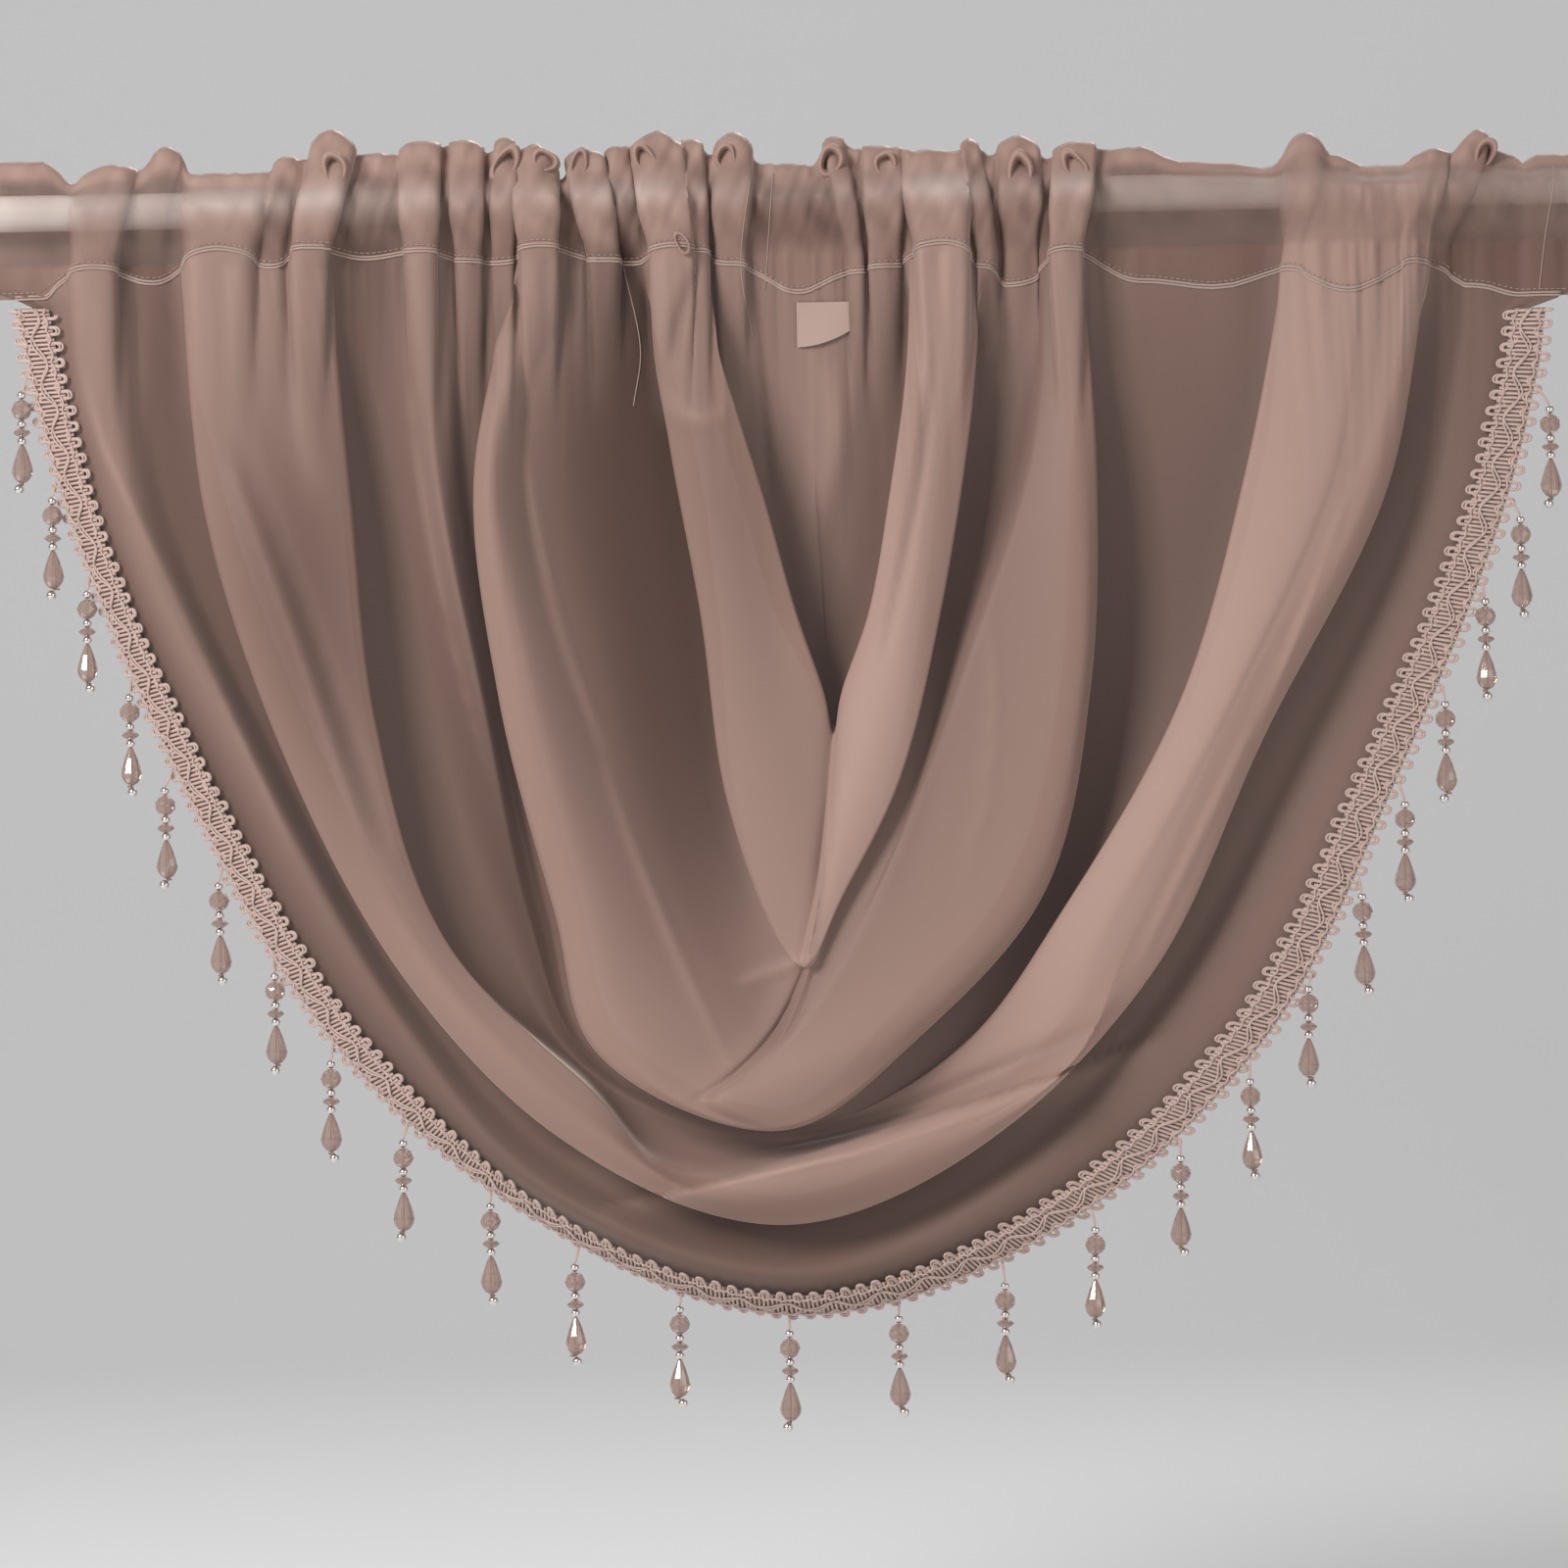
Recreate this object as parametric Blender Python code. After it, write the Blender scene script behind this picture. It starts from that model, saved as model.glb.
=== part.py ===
"""Voile swag valance on a curtain rod: one gathered sheet, a looped braid on its curved edge, 25 bead drops.

Origin on the rod's axis at the middle of the cloth. X runs along the rod, -Y faces the room, Z is up.
Lengths in the constants and tables are millimetres.
"""
import math

import bmesh
import bpy
import numpy as np
from mathutils.bvhtree import BVHTree

for old in list(bpy.data.objects):
    bpy.data.objects.remove(old, do_unlink=True)

MM = 0.001

ROD_DIAMETER = 14.0
ROD_LENGTH = 650.0
ROD_SIDES = 32

CLOTH_THICK = 1.0
HEADER_BASE = -22.0      # height where the panel's folds start below the rod
LOOP_DEPTH = 9.6         # front and back of the pocket's loop from the rod's axis
ROD_CLEAR = 8.3          # closest that the pocket comes to the rod's axis
HALF_STEPS = 24          # facets along half a fold line
# Places of the rows near the header, set where its ends stop on the left and on the right.
FOOT_PLACES = (0.0078, 0.0122, 0.0182, 0.0228)
SEAM_DROP = 2.0          # the back layer ends this far above the panel's first row
TUCK_GAP = 1.7           # back layer of the pocket behind the panel
FLARE = 13.0             # how far the header's ends stand out past the braid
FLARE_FROM = 262.0
FLARE_SPAN = 27.0
FLARE_FOOT = -40.0       # where the header ends at the middle, and its fall to the right
FOOT_FALL = 0.0196
FLARE_RISE = 4.0
PLEAT_FADE = -96.0       # height where the header's pleats have run out
PLEAT_WAIST = 0.75       # part of a pleat's half width where it leaves the header
PLEAT_FLAT = 0.45        # part of the waist that stays level across a pleat
PLEAT_REACH = 1.2        # where a pleat's sides end, in waists
PLEAT_ROUND = 0.12       # how much lower a pleat's sides are than its middle
LEAN_SPAN = 44.0         # height over which a pleat leans from its seam place to its top place
PLEAT_SWELL = 1.1        # how far a pleat's sides hang over the hollows beside it
SWELL_WIDTH = 6.0        # pleats with a wider waist than this swell no further
PLEAT_PUFF = 0.3         # how much wider a pleat is at the rod than at its seam
PUFF_FROM = -18.0
PUFF_RISE = 16.0
FULL_PUSH = 6.0
RUFFLE_PINCH = 0.75      # how far the ruffle closes above the rod
PINCH_BY = 0.8
RUFFLE_WAVE = 0.55       # how far the ruffle swings forward where a pleat stands out, from this height up
WAVE_MIDDLE = 2.5
WAVE_FROM = 7.0
WAVE_RISE = 6.0
FRONT_FULL = 0.9         # parts of a pleat's push that the pocket's front and back show
BACK_FULL = 0.35
BACK_SPREAD = 0.4        # part of a pleat's swell that is left low on the pocket's back
RUFFLE_ROUND = 6         # how late the ruffle closes on its way up

BRAID_WIDTH = 16.5
BRAID_THICK = 2.2
BRAID_GAP = 0.8
BRAID_TOP = 0.5          # how far the braid may start above the header's foot

LABEL_WIDTH = 18.0
LABEL_DROP = 16.0
LABEL_RISE = 5.0         # rise of its lower edge to the right, from this part of its width on
LABEL_TURN = 0.3
LABEL_THICK = 0.6
LABEL_AT = (13.0, -40.5)
LABEL_CLEAR = 0.75
LABEL_STEPS = (9, 6)

DROP_SIDES = 6
DROP_HIGH = 41.0
DROP_CLEAR = 0.5
DROP_SEAT = 0.35         # between a drop's thread and the braid it hangs from
DROP_THREAD = 4.0        # length of thread above the top bead
THREAD_RADIUS = 0.6
LOW_BRAID = 8.0          # drops whose tops are no higher than this above the braid's foot hang free of it
PLACE_STEP = 0.05        # spacing, in facets of the braid, of the places a drop can hang from
WELD = 0.01
SHARP_ANGLE = 40.0       # degrees between faces that meet at an edge instead of rolling over
CAST_FROM = -200.0

# One row per fold line, from the braided edge to the middle of the panel: its x at 0, 25, 50, 75 and 90 % of
# its fall on the left, its lowest point, its x at 90 to 0 % on the right, and the facets to the next line.
LINES_HEAD = ("name", "l0", "l25", "l50", "l75", "l90", "low_x", "low_z", "r90", "r75", "r50", "r25", "r0",
              "facets")
LINES = [
    ("edge", -292, -268, -227, -169, -104, 0, -422, 108, 172, 225, 267, 291, 2),
    ("a_ridge", -266, -250, -206, -152, -103, -2, -411, 91, 146, 204, 249, 270, 2),
    ("a_valley", -250, -237, -197, -146, -97, -5, -400, 84, 137, 191, 239, 262, 1),
    ("u3_tuck", -234, -216, -184, -136, -84, -7, -381, 70, 121, 167, 218, 252, 1),
    ("u3_roll", -229, -223, -195, -147, -95, -7, -391, 80, 134, 180, 228, 245, 2),
    ("b_crest", -202, -195, -177, -139, -88, -20, -381, 88, 131, 177, 222, 238, 2),
    ("u4_edge", -175, -167, -159, -132, -82, -35, -371, 97, 127, 173, 215, 230, 1),
    ("u4_fall", -171, -171, -163, -136, -86, -33, -366, 91, 121, 169, 209, 223, 2),
    ("k_crest", -158, -156, -143, -116, -87, -12, -361, 83, 115, 164, 201, 215, 2),
    ("e_ridge", -139, -134, -119, -103, -84, -11, -357, 63, 101, 149, 174, 192, 1),
    ("k_tuck", -129, -128, -115, -98, -82, -11, -355, 66, 105, 153, 179, 187, 1),
    ("j_valley", -122, -123, -111, -94, -80, -11, -353, 50, 94, 128, 142, 146, 2),
    ("u6_tuck", -105, -111, -103, -83, -71, -10, -347, 34, 79, 103, 109, 118, 1),
    ("u6_roll", -102, -120, -112, -92, -79, -11, -355, 44, 91, 113, 117, 113, 1),
    ("f_crest", -93, -112, -100, -80, -67, -34, -344, 38, 80, 104, 108, 106, 2),
    ("f_crease", -83, -101, -84, -61, -41, -22, -333, 12, 36, 67, 93, 100, 2),
    ("g1_mid", -66, -74, -60, -44, -27, -8, -318, 13, 38, 62, 84, 93, 1),
    ("g2_tuck", -59, -38, -29, -24, -14, 2, -296, 15, 34, 50, 61, 83, 1),
    ("g2_left", -53, -46, -35, -27, -15, 2, -292, 18, 39, 57, 69, 76, 2),
    ("g2_crest", -42, -34, -19, -6, 3, 9, -258, 18, 32, 47, 56, 62, 2),
    ("g2_right", -31, -23, -10, 2, 11, 15, -205, 19, 29, 38, 45, 48, 1),
    ("recess", -27, -30, -19, -7, 6, 14, -199, 25, 37, 46, 52, 43, 2),
    ("floor", -12, -8, 0, 6, 12, 13, -170, 17, 22, 27, 31, 34, 3),
    ("middle", 10, 10, 10, 10, 10, 10, -112, 10, 10, 10, 10, 10, 0),
]
# One row per fold line: its depth at the header, a quarter down, low on the left and at the bottom, then back
# up the right side.
DEPTHS_HEAD = ("name", "y0", "y1", "y2", "y3", "y4", "y5", "y6")
DEPTHS = [
    ("edge", -2, 5, 4, 5, 2, 0, -1),
    ("a_ridge", -5, -8, -9, -8, 1, 3, 1),
    ("a_valley", -1, 3, 2, -2, 7, 7, 2),
    ("u3_tuck", -1, 4, 5, 1, 5, 6, 2),
    ("u3_roll", -6, -15, -16, -17, -14, -11, -4),
    ("b_crest", -5, -19, -21, -22, -18, -17, -6),
    ("u4_edge", -4, -13, -14, -17, -20, -18, -6),
    ("u4_fall", -1, 1, 1, -7, -20, -19, -7),
    ("k_crest", 0, 7, 8, -1, -19, -20, -8),
    ("e_ridge", -5, -8, 3, 0, -13, -15, -7),
    ("k_tuck", -2, -2, 6, -1, -4, -5, -1),
    ("j_valley", 0, 5, 7, -2, 3, 6, 1),
    ("u6_tuck", 0, 3, 4, -6, 3, 4, 0),
    ("u6_roll", -4, -16, -18, -23, -18, -15, -4),
    ("f_crest", -4, -20, -22, -28, -23, -19, -5),
    ("f_crease", -2, -8, -13, -24, -21, -13, -4),
    ("g1_mid", -3, -5, -7, -20, -17, 0, 0),
    ("g2_tuck", 0, 0, -4, -19, -13, 2, 0),
    ("g2_left", -4, -11, -15, -22, -22, -15, -5),
    ("g2_crest", -5, -16, -18, -19, -24, -20, -6),
    ("g2_right", -5, -15, -17, -14, -20, -18, -5),
    ("recess", -1, 2, 3, 0, 2, 2, -1),
    ("floor", -2, 4, 5, 4, 4, 2, -2),
    ("middle", -3, 1, 4, 4, 4, 1, -3),
]
FALLS = (0.0, 0.25, 0.5, 0.75, 0.9, 1.0, 0.9, 0.75, 0.5, 0.25, 0.0)
FALL_PLACES = (0.0, 0.095, 0.19, 0.30, 0.385, 0.5, 0.615, 0.70, 0.81, 0.905, 1.0)
DEPTH_PLACES = (0.0, 0.11, 0.30, 0.5, 0.70, 0.89, 1.0)

# Step at the foot of the cowl, where its right side lies over its left.
COWL_STEP = 7.0
COWL_LINES = ("f_crest", "g2_crest")
COWL_REACH = 0.07
COWL_EDGE = 0.006
# Fold lines whose cloth turns sharply instead of rolling over.
CRISP_LINES = ("u3_roll", "u4_edge", "e_ridge", "u6_roll", "f_crease", "g2_left", "g2_right")
CRISP = 0.8

# One row per gather of the header: where its crest is at the seam and at the top, half its width, how far it
# stands out, the seam's height under it, its top and the notch that follows it to the right.
PLEATS_HEAD = ("name", "seam_x", "top_x", "half", "push", "seam_z", "top_z", "notch_z")
PLEATS = [
    ("end_left", -292, -284, 9, 1.0, -33, 20, 11),
    ("a", -264, -258, 11, 5.0, -22, 18, 16),
    ("a_side", -243, -236, 6, 1.5, -28, 25, 14),
    ("b", -216, -210, 17, 6.0, -16, 14, 14),
    ("b_side", -196, -192, 6, 2.0, -23, 20, 19),
    ("c", -182, -172, 8, 6.5, -16, 30, 20),
    ("c_side", -160, -156, 8, 0.5, -20, 21, 20),
    ("e", -139, -139, 7, 5.5, -18, 25, 23),
    ("e2", -121, -121, 6, 4.5, -22, 25, 20),
    ("e3", -108, -105, 5, 4.5, -23, 26, 19),
    ("f", -94, -95, 8, 8.0, -17, 23, 9),
    ("g1", -69, -77, 7, 5.5, -23, 21, 18),
    ("g1_side", -58, -64, 5, 2.0, -24, 22, 21),
    ("g2", -43, -48, 10, 8.5, -18, 27, 22),
    ("g2_side", -33, -36, 5, 4.0, -20, 24, 18),
    ("g3", -21, -19, 7, 4.5, -25, 26, 14),
    ("flat", 4, 2, 8, 1.0, -36, 14, 13),
    ("fold", 27, 19, 4, 3.5, -29, 24, 19),
    ("h_side", 38, 38, 7, 5.0, -27, 20, 18),
    ("h", 60, 57, 13, 8.5, -19, 18, 17),
    ("h_ear", 77, 69, 5, 4.0, -28, 22, 16),
    ("rest", 90, 90, 8, 4.0, -35, 23, 14),
    ("i", 107, 112, 7, 7.5, -22, 20, 17),
    ("j", 137, 136, 14, 0.5, -34, 18, 12),
    ("j_far", 166, 168, 12, 1.0, -37, 11, 9),
    ("k_left", 194, 203, 8, 2.0, -31, 22, 13),
    ("k", 217, 222, 31, 5.0, -40, 9, 9),
    ("k_right", 240, 246, 10, 3.0, -29, 15, 13),
    ("k_ear", 249, 266, 7, 2.5, -30, 22, 14),
    ("m", 266, 279, 8, 1.0, -38, 12, 9),
    ("end_right", 289, 288, 9, 1.5, -42, 12, 9),
]

# Rows of the pocket's loop from the panel up the front, over the top and down the back, as parts of the way.
FRONT_LOW = (0.5, 1.0)
LOOP_RISE = (0.5, 0.86, 1.0)
LOOP_FALL = (0.86, 0.45, 0.0)
BACK_LOW = (0.5, 1.0)

# One row per bead drop: where it hangs and how low its last bead reaches.
DROPS_HEAD = ("x", "end_z")
DROPS = [
    (-292, -107.5), (-279, -148), (-269, -184), (-255, -224), (-242, -260), (-222, -297), (-201, -332),
    (-180, -366), (-153, -397), (-120, -422), (-88, -446), (-48, -463), (-6, -473), (36, -468), (77, -456),
    (112, -435), (145, -408), (172, -379), (195, -344), (216, -309), (233, -274), (249, -236), (265, -197),
    (279, -166), (291, -124),
]
# Outline of a drop from its last bead upward: height above the end and radius.
DROP_OUTLINE = [
    (0.0, 1.1), (1.8, 1.8), (4.3, 1.2), (6.6, 3.1), (9.2, 4.1), (14.0, 2.8), (19.2, 1.3), (22.4, 1.5),
    (24.0, 3.4), (25.7, 1.5), (29.2, 1.5), (31.2, 3.7), (34.6, 3.7), (36.8, 1.5), (40.0, 1.3), (41.0, 0.6),
]


def table(rows, head):
    return [dict(zip(head, row)) for row in rows]


def curve_through(places, values, at, crisp=None):
    """Smooth curve through values at places, read at the places in at. Values run along the last axis.

    A place with a crisp part above 0 meets its two stretches at an angle.
    """
    k, v, at = (np.asarray(a, float) for a in (places, values, at))
    gap = np.diff(k)
    rise = np.diff(v, axis=-1) / gap
    slope = np.empty_like(v)
    slope[..., 1:-1] = (rise[..., :-1] * gap[1:] + rise[..., 1:] * gap[:-1]) / (gap[:-1] + gap[1:])
    slope[..., 0], slope[..., -1] = rise[..., 0], rise[..., -1]
    sharp = np.zeros(len(k)) if crisp is None else np.asarray(crisp, float)
    leave = slope[..., :-1] + sharp[:-1] * (rise - slope[..., :-1])
    reach = slope[..., 1:] + sharp[1:] * (rise - slope[..., 1:])
    i = np.clip(np.searchsorted(k, at, side="right") - 1, 0, len(k) - 2)
    f, g = (at - k[i]) / gap[i], gap[i]
    return ((2 * f**3 - 3 * f**2 + 1) * v[..., i] + (f**3 - 2 * f**2 + f) * g * leave[..., i]
            + (3 * f**2 - 2 * f**3) * v[..., i + 1] + (f**3 - f**2) * g * reach[..., i])


def soft(a):
    a = np.clip(a, 0.0, 1.0)
    return a * a * (3 - 2 * a)


def between(x, places, values):
    """Rounded peaks and notches through values at places."""
    i = np.clip(np.searchsorted(places, x, side="right") - 1, 0, len(places) - 2)
    f = soft((x - places[i]) / (places[i + 1] - places[i]))
    return values[i] + (values[i + 1] - values[i]) * f


pleats = table(PLEATS, PLEATS_HEAD)
lines = table(LINES, LINES_HEAD)
depths = table(DEPTHS, DEPTHS_HEAD)


def column(rows, name):
    return np.array([row[name] for row in rows], float)


def top_height(x):
    peaks = column(pleats, "top_x")
    places = np.concatenate([peaks, (peaks[1:] + peaks[:-1]) / 2])
    heights = np.concatenate([column(pleats, "top_z"), column(pleats, "notch_z")[:-1]])
    order = np.argsort(places)
    return between(x, places[order], heights[order])


def pleat_shape(x, z):
    """How far the header's pleats stand forward at x and z, and how far sideways their sides swell."""
    lean = np.clip((z - HEADER_BASE) / LEAN_SPAN, 0.0, 1.0)
    push, swell = np.zeros_like(x), np.zeros_like(x)
    puff = 1 + PLEAT_PUFF * soft((z - PUFF_FROM) / PUFF_RISE)
    for p in pleats:
        waist = p["half"] * PLEAT_WAIST * puff
        off = x - (p["seam_x"] + (p["top_x"] - p["seam_x"]) * lean)
        part = 1 - soft((np.abs(off) / waist - PLEAT_FLAT) / (PLEAT_REACH - PLEAT_FLAT))
        push += p["push"] * part * (1 - PLEAT_ROUND * (off / waist) ** 2)
        full = min(p["push"] / FULL_PUSH, 1.0)
        swell += off * part * PLEAT_SWELL * full * np.minimum(1.0, SWELL_WIDTH / waist)
    fade = soft((z - PLEAT_FADE) / (HEADER_BASE - PLEAT_FADE))
    return push * fade, swell * fade


def fold_places(per_facet):
    """Places across the fold lines, from the edge (0) to the middle, with each row's number of facets."""
    out = [0.0]
    for i, row in enumerate(lines[:-1]):
        out += [i + (n + 1) / (row["facets"] * per_facet) for n in range(row["facets"] * per_facet)]
    return np.array(out)


def panel(along, across):
    """Grid of the panel's points: along runs down one side and up the other, across from the edge inward."""
    xs, zs, ys = [], [], []
    for row, deep in zip(lines, depths):
        x = [row[c] for c in ("l0", "l25", "l50", "l75", "l90", "low_x", "r90", "r75", "r50", "r25", "r0")]
        z = [HEADER_BASE + q * (row["low_z"] - HEADER_BASE) for q in FALLS]
        y = [deep["y%d" % n] for n in range(7)]
        xs.append(curve_through(FALL_PLACES, x, along))
        zs.append(curve_through(FALL_PLACES, z, along))
        ys.append(curve_through(DEPTH_PLACES, y, along))
    count = np.arange(len(lines))
    names = [row["name"] for row in lines]
    crisp = [CRISP * (name in CRISP_LINES) for name in names]
    x, y, z = (curve_through(count, np.array(a).T, across, crisp) for a in (xs, ys, zs))
    first, last = (names.index(n) for n in COWL_LINES)
    weight = soft(across - first + 1) * soft(last + 1 - across)
    side = np.tanh((along - 0.5) / COWL_EDGE) * np.exp(-np.abs(along - 0.5) / COWL_REACH)
    y = y - COWL_STEP / 2 * side[:, None] * weight[None, :]
    flare = np.clip((np.abs(x) - FLARE_FROM) / FLARE_SPAN, 0, 1) * soft((z - foot_height(x)) / FLARE_RISE)
    x = x + np.sign(x) * FLARE * flare
    return np.stack([x, y, z], axis=-1)


def foot_height(x):
    return FLARE_FOOT - FOOT_FALL * x


def pleated(points):
    push, swell = pleat_shape(points[..., 0], points[..., 2])
    return points + np.stack([swell, -push, 0 * push], axis=-1)


def finish(name, colour, roughness, metallic=0.0):
    material = bpy.data.materials.new(name)
    material.use_nodes = True
    shader = material.node_tree.nodes["Principled BSDF"]
    shader.inputs["Base Color"].default_value = (*colour, 1)
    shader.inputs["Roughness"].default_value = roughness
    shader.inputs["Metallic"].default_value = metallic
    return material


def add_object(name, mesh, material):
    mesh.materials.append(material)
    obj = bpy.data.objects.new(name, mesh)
    bpy.context.scene.collection.objects.link(obj)
    return obj


def add_sheet(name, points, quads, thick, material):
    """Sheet of cloth through points, thickened to both sides."""
    mesh = bpy.data.meshes.new(name)
    mesh.from_pydata((np.asarray(points) * MM).tolist(), [], quads)
    mesh.shade_smooth()
    obj = add_object(name, mesh, material)
    layer = obj.modifiers.new("thickness", "SOLIDIFY")
    layer.thickness = thick * MM
    layer.offset = 0.0


def pocket(foot, goal):
    """Rows of points from the panel's top row up the front, over the ruffle and down the back."""
    x, y = foot[:, 0], foot[:, 1]
    top = top_height(x)
    rows = []
    for f in FRONT_LOW:
        z = HEADER_BASE * (1 - f) + 0 * x
        push, swell = pleat_shape(x, z)
        start, front = y - push, -LOOP_DEPTH - FRONT_FULL * push
        rows.append(np.stack([x + swell, start + (front - start) * soft(f), z], axis=-1))
    for side, parts in ((-1, LOOP_RISE), (1, LOOP_FALL)):
        for f in parts:
            z = top * f
            push, swell = pleat_shape(x, z)
            part = FRONT_FULL if side < 0 else BACK_FULL
            spread = 1.0 if side < 0 else BACK_SPREAD + (1 - BACK_SPREAD) * f
            pinch = (1 - RUFFLE_PINCH * soft(f / PINCH_BY)) * max(1 - f**RUFFLE_ROUND, 0.0) ** 0.5
            deep = (LOOP_DEPTH + part * push) * pinch
            deep = np.maximum(deep, np.sqrt(np.maximum(ROD_CLEAR**2 - z**2, 0)))
            wave = RUFFLE_WAVE * (push - WAVE_MIDDLE) * soft((z - WAVE_FROM) / WAVE_RISE)
            rows.append(np.stack([x + swell * spread, side * deep - wave, z], axis=-1))
    deep = rows[-1][:, 1]
    for f in BACK_LOW:
        z = (HEADER_BASE + SEAM_DROP) * f + 0 * x
        swell = pleat_shape(x, z)[1]
        spread = swell * (BACK_SPREAD + (1 - BACK_SPREAD) * f)
        rows.append(np.stack([x + spread, deep + (goal - deep) * f**2, z], axis=-1))
    return rows


def cloth_sheet():
    """Points and quads of the whole cloth, panel and pocket, and the panel's grid of points."""
    near, even = np.array(FOOT_PLACES), np.linspace(0, 1, 2 * HALF_STEPS + 1)
    bare = panel(np.concatenate([[0], near, even[2:-2], 1 - near[::-1], [1]]), fold_places(1))
    grid = pleated(bare)
    count, across = grid.shape[:2]
    index = np.arange(count * across).reshape(count, across)
    middle = count // 2
    index[middle + 1:, -1] = index[middle - 1::-1, -1]
    corners = index[:-1, :-1], index[1:, :-1], index[1:, 1:], index[:-1, 1:]
    quads = np.stack(corners, axis=-1).reshape(-1, 4).tolist()
    foot = np.concatenate([index[0], index[-1][-2::-1]])
    bare_foot = bare.reshape(-1, 3)[foot]
    blocks, previous, total = [grid.reshape(-1, 3)], foot, count * across
    for row in pocket(bare_foot, grid.reshape(-1, 3)[foot][:, 1] + TUCK_GAP):
        now = total + np.arange(len(row))
        total += len(row)
        blocks.append(row)
        quads += np.stack([previous[:-1], previous[1:], now[1:], now[:-1]], axis=-1).tolist()
        previous = now
    points = np.concatenate(blocks)
    used = np.unique(np.array(quads))
    place = np.zeros(len(points), int)
    place[used] = np.arange(len(used))
    return points[used], place[np.array(quads)].tolist(), grid


def braid(grid, material):
    """The braid's strip along the cloth's curved edge. Returns its outer edge and the way out from it."""
    edge, inner = grid[:, 0], grid[:, 1]
    inward = inner - edge
    inward /= np.linalg.norm(inward, axis=1)[:, None]
    out = np.cross(np.gradient(edge, axis=0), inward)
    out /= np.linalg.norm(out, axis=1)[:, None]
    out *= -np.sign(out[:, 1:2])
    keep = edge[:, 2] < foot_height(edge[:, 0]) + BRAID_TOP
    edge, inward, out = edge[keep], inward[keep], out[keep]
    middle = edge + out * ((CLOTH_THICK + BRAID_THICK) / 2 + BRAID_GAP)
    half = BRAID_WIDTH / 2
    points = np.stack([middle + inward * side for side in (-half, 0, half)], axis=1).reshape(-1, 3)
    quads = [(i, i + 1, i + 4, i + 3) for n in range(len(edge) - 1) for i in (3 * n, 3 * n + 1)]
    add_sheet("braid_trim", points, quads, BRAID_THICK, material)
    return middle - inward * half, -inward


def drop_place(x, end, outer):
    """Where a drop hangs: no nearer to the braid's outer edge than its widest beads allow."""
    side = outer[:len(outer) // 2] if x < 0 else outer[len(outer) // 2:]
    way = -1 if x < 0 else 1
    if end + DROP_HIGH > outer[:, 2].min() + LOW_BRAID:
        for up, radius in DROP_OUTLINE:
            rise = side[:, 2] - end - up
            near = np.abs(rise) < radius + DROP_CLEAR
            beside = side[:, 0] + way * np.sqrt(np.maximum((radius + DROP_CLEAR)**2 - rise**2, 0))
            if near.any():
                x = way * max(way * x, (way * beside[near]).max())
    return x


def drops(outer, outward, material):
    """Each drop: its outline turned round, with the thread drawn out to the braid's edge."""
    steps = np.arange(0, len(outer) - 1, PLACE_STEP)
    fine, way = (np.stack([np.interp(steps, np.arange(len(a)), a[:, c]) for c in range(3)], axis=1)
                 for a in (outer, outward))
    for number, (x, end) in enumerate(DROPS, 1):
        x = drop_place(x, end, fine)
        at = np.argmin(np.hypot(fine[:, 0] - x, fine[:, 2] - end - DROP_HIGH - DROP_THREAD))
        seat = fine[at] + way[at] * (DROP_SEAT + THREAD_RADIUS * np.hypot(way[at, 0], way[at, 1]))
        form = bmesh.new()
        line = [form.verts.new((x + radius, seat[1], end + up)) for up, radius in DROP_OUTLINE]
        edges = [form.edges.new(pair) for pair in zip(line, line[1:])]
        bmesh.ops.spin(form, geom=line + edges, cent=(x, seat[1], 0), axis=(0, 0, 1), angle=2 * math.pi,
                       steps=DROP_SIDES)
        bmesh.ops.remove_doubles(form, verts=form.verts, dist=WELD)
        bmesh.ops.holes_fill(form, edges=form.edges)
        top = max(form.faces, key=lambda face: face.calc_center_median().z)
        tip = bmesh.ops.extrude_face_region(form, geom=[top])["geom"]
        bmesh.ops.delete(form, geom=[top], context="FACES_ONLY")
        ends = [v for v in tip if isinstance(v, bmesh.types.BMVert)]
        bmesh.ops.translate(form, verts=ends, vec=seat - np.array((x, seat[1], end + DROP_HIGH)))
        bmesh.ops.scale(form, verts=form.verts, vec=(MM, MM, MM))
        bmesh.ops.recalc_face_normals(form, faces=form.faces)
        mesh = bpy.data.meshes.new("bead_drop")
        form.to_mesh(mesh)
        form.free()
        mesh.shade_smooth()
        add_object("bead_drop_%02d" % number, mesh, material)


def rod(material):
    form = bmesh.new()
    bmesh.ops.create_cone(form, cap_ends=True, segments=ROD_SIDES, radius1=ROD_DIAMETER / 2 * MM,
                          radius2=ROD_DIAMETER / 2 * MM, depth=ROD_LENGTH * MM)
    mesh = bpy.data.meshes.new("curtain_rod")
    form.to_mesh(mesh)
    form.free()
    mesh.shade_smooth()
    mesh.set_sharp_from_angle(angle=math.radians(SHARP_ANGLE))
    add_object("curtain_rod", mesh, material).rotation_euler = (0, math.pi / 2, 0)


def label(points, quads, material):
    """Small blank label below the seam, lying along the panel, its lower edge rising to the right."""
    tree = BVHTree.FromPolygons(points.tolist(), quads)
    across, down = LABEL_STEPS
    sheet = []
    for v in np.linspace(0, 1, down):
        for u in np.linspace(0, 1, across):
            x = LABEL_AT[0] + (u - 0.5) * LABEL_WIDTH
            z = LABEL_AT[1] - v * (LABEL_DROP - LABEL_RISE * soft((u - LABEL_TURN) / (1 - LABEL_TURN)))
            hit = tree.ray_cast((x, CAST_FROM, z), (0, 1, 0))[0]
            sheet.append((x, hit[1] - CLOTH_THICK / 2 - LABEL_CLEAR - LABEL_THICK / 2, z))
    faces = [(i, i + across, i + across + 1, i + 1) for row in range(down - 1)
             for i in range(row * across, row * across + across - 1)]
    add_sheet("care_label", sheet, faces, LABEL_THICK, material)


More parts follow.
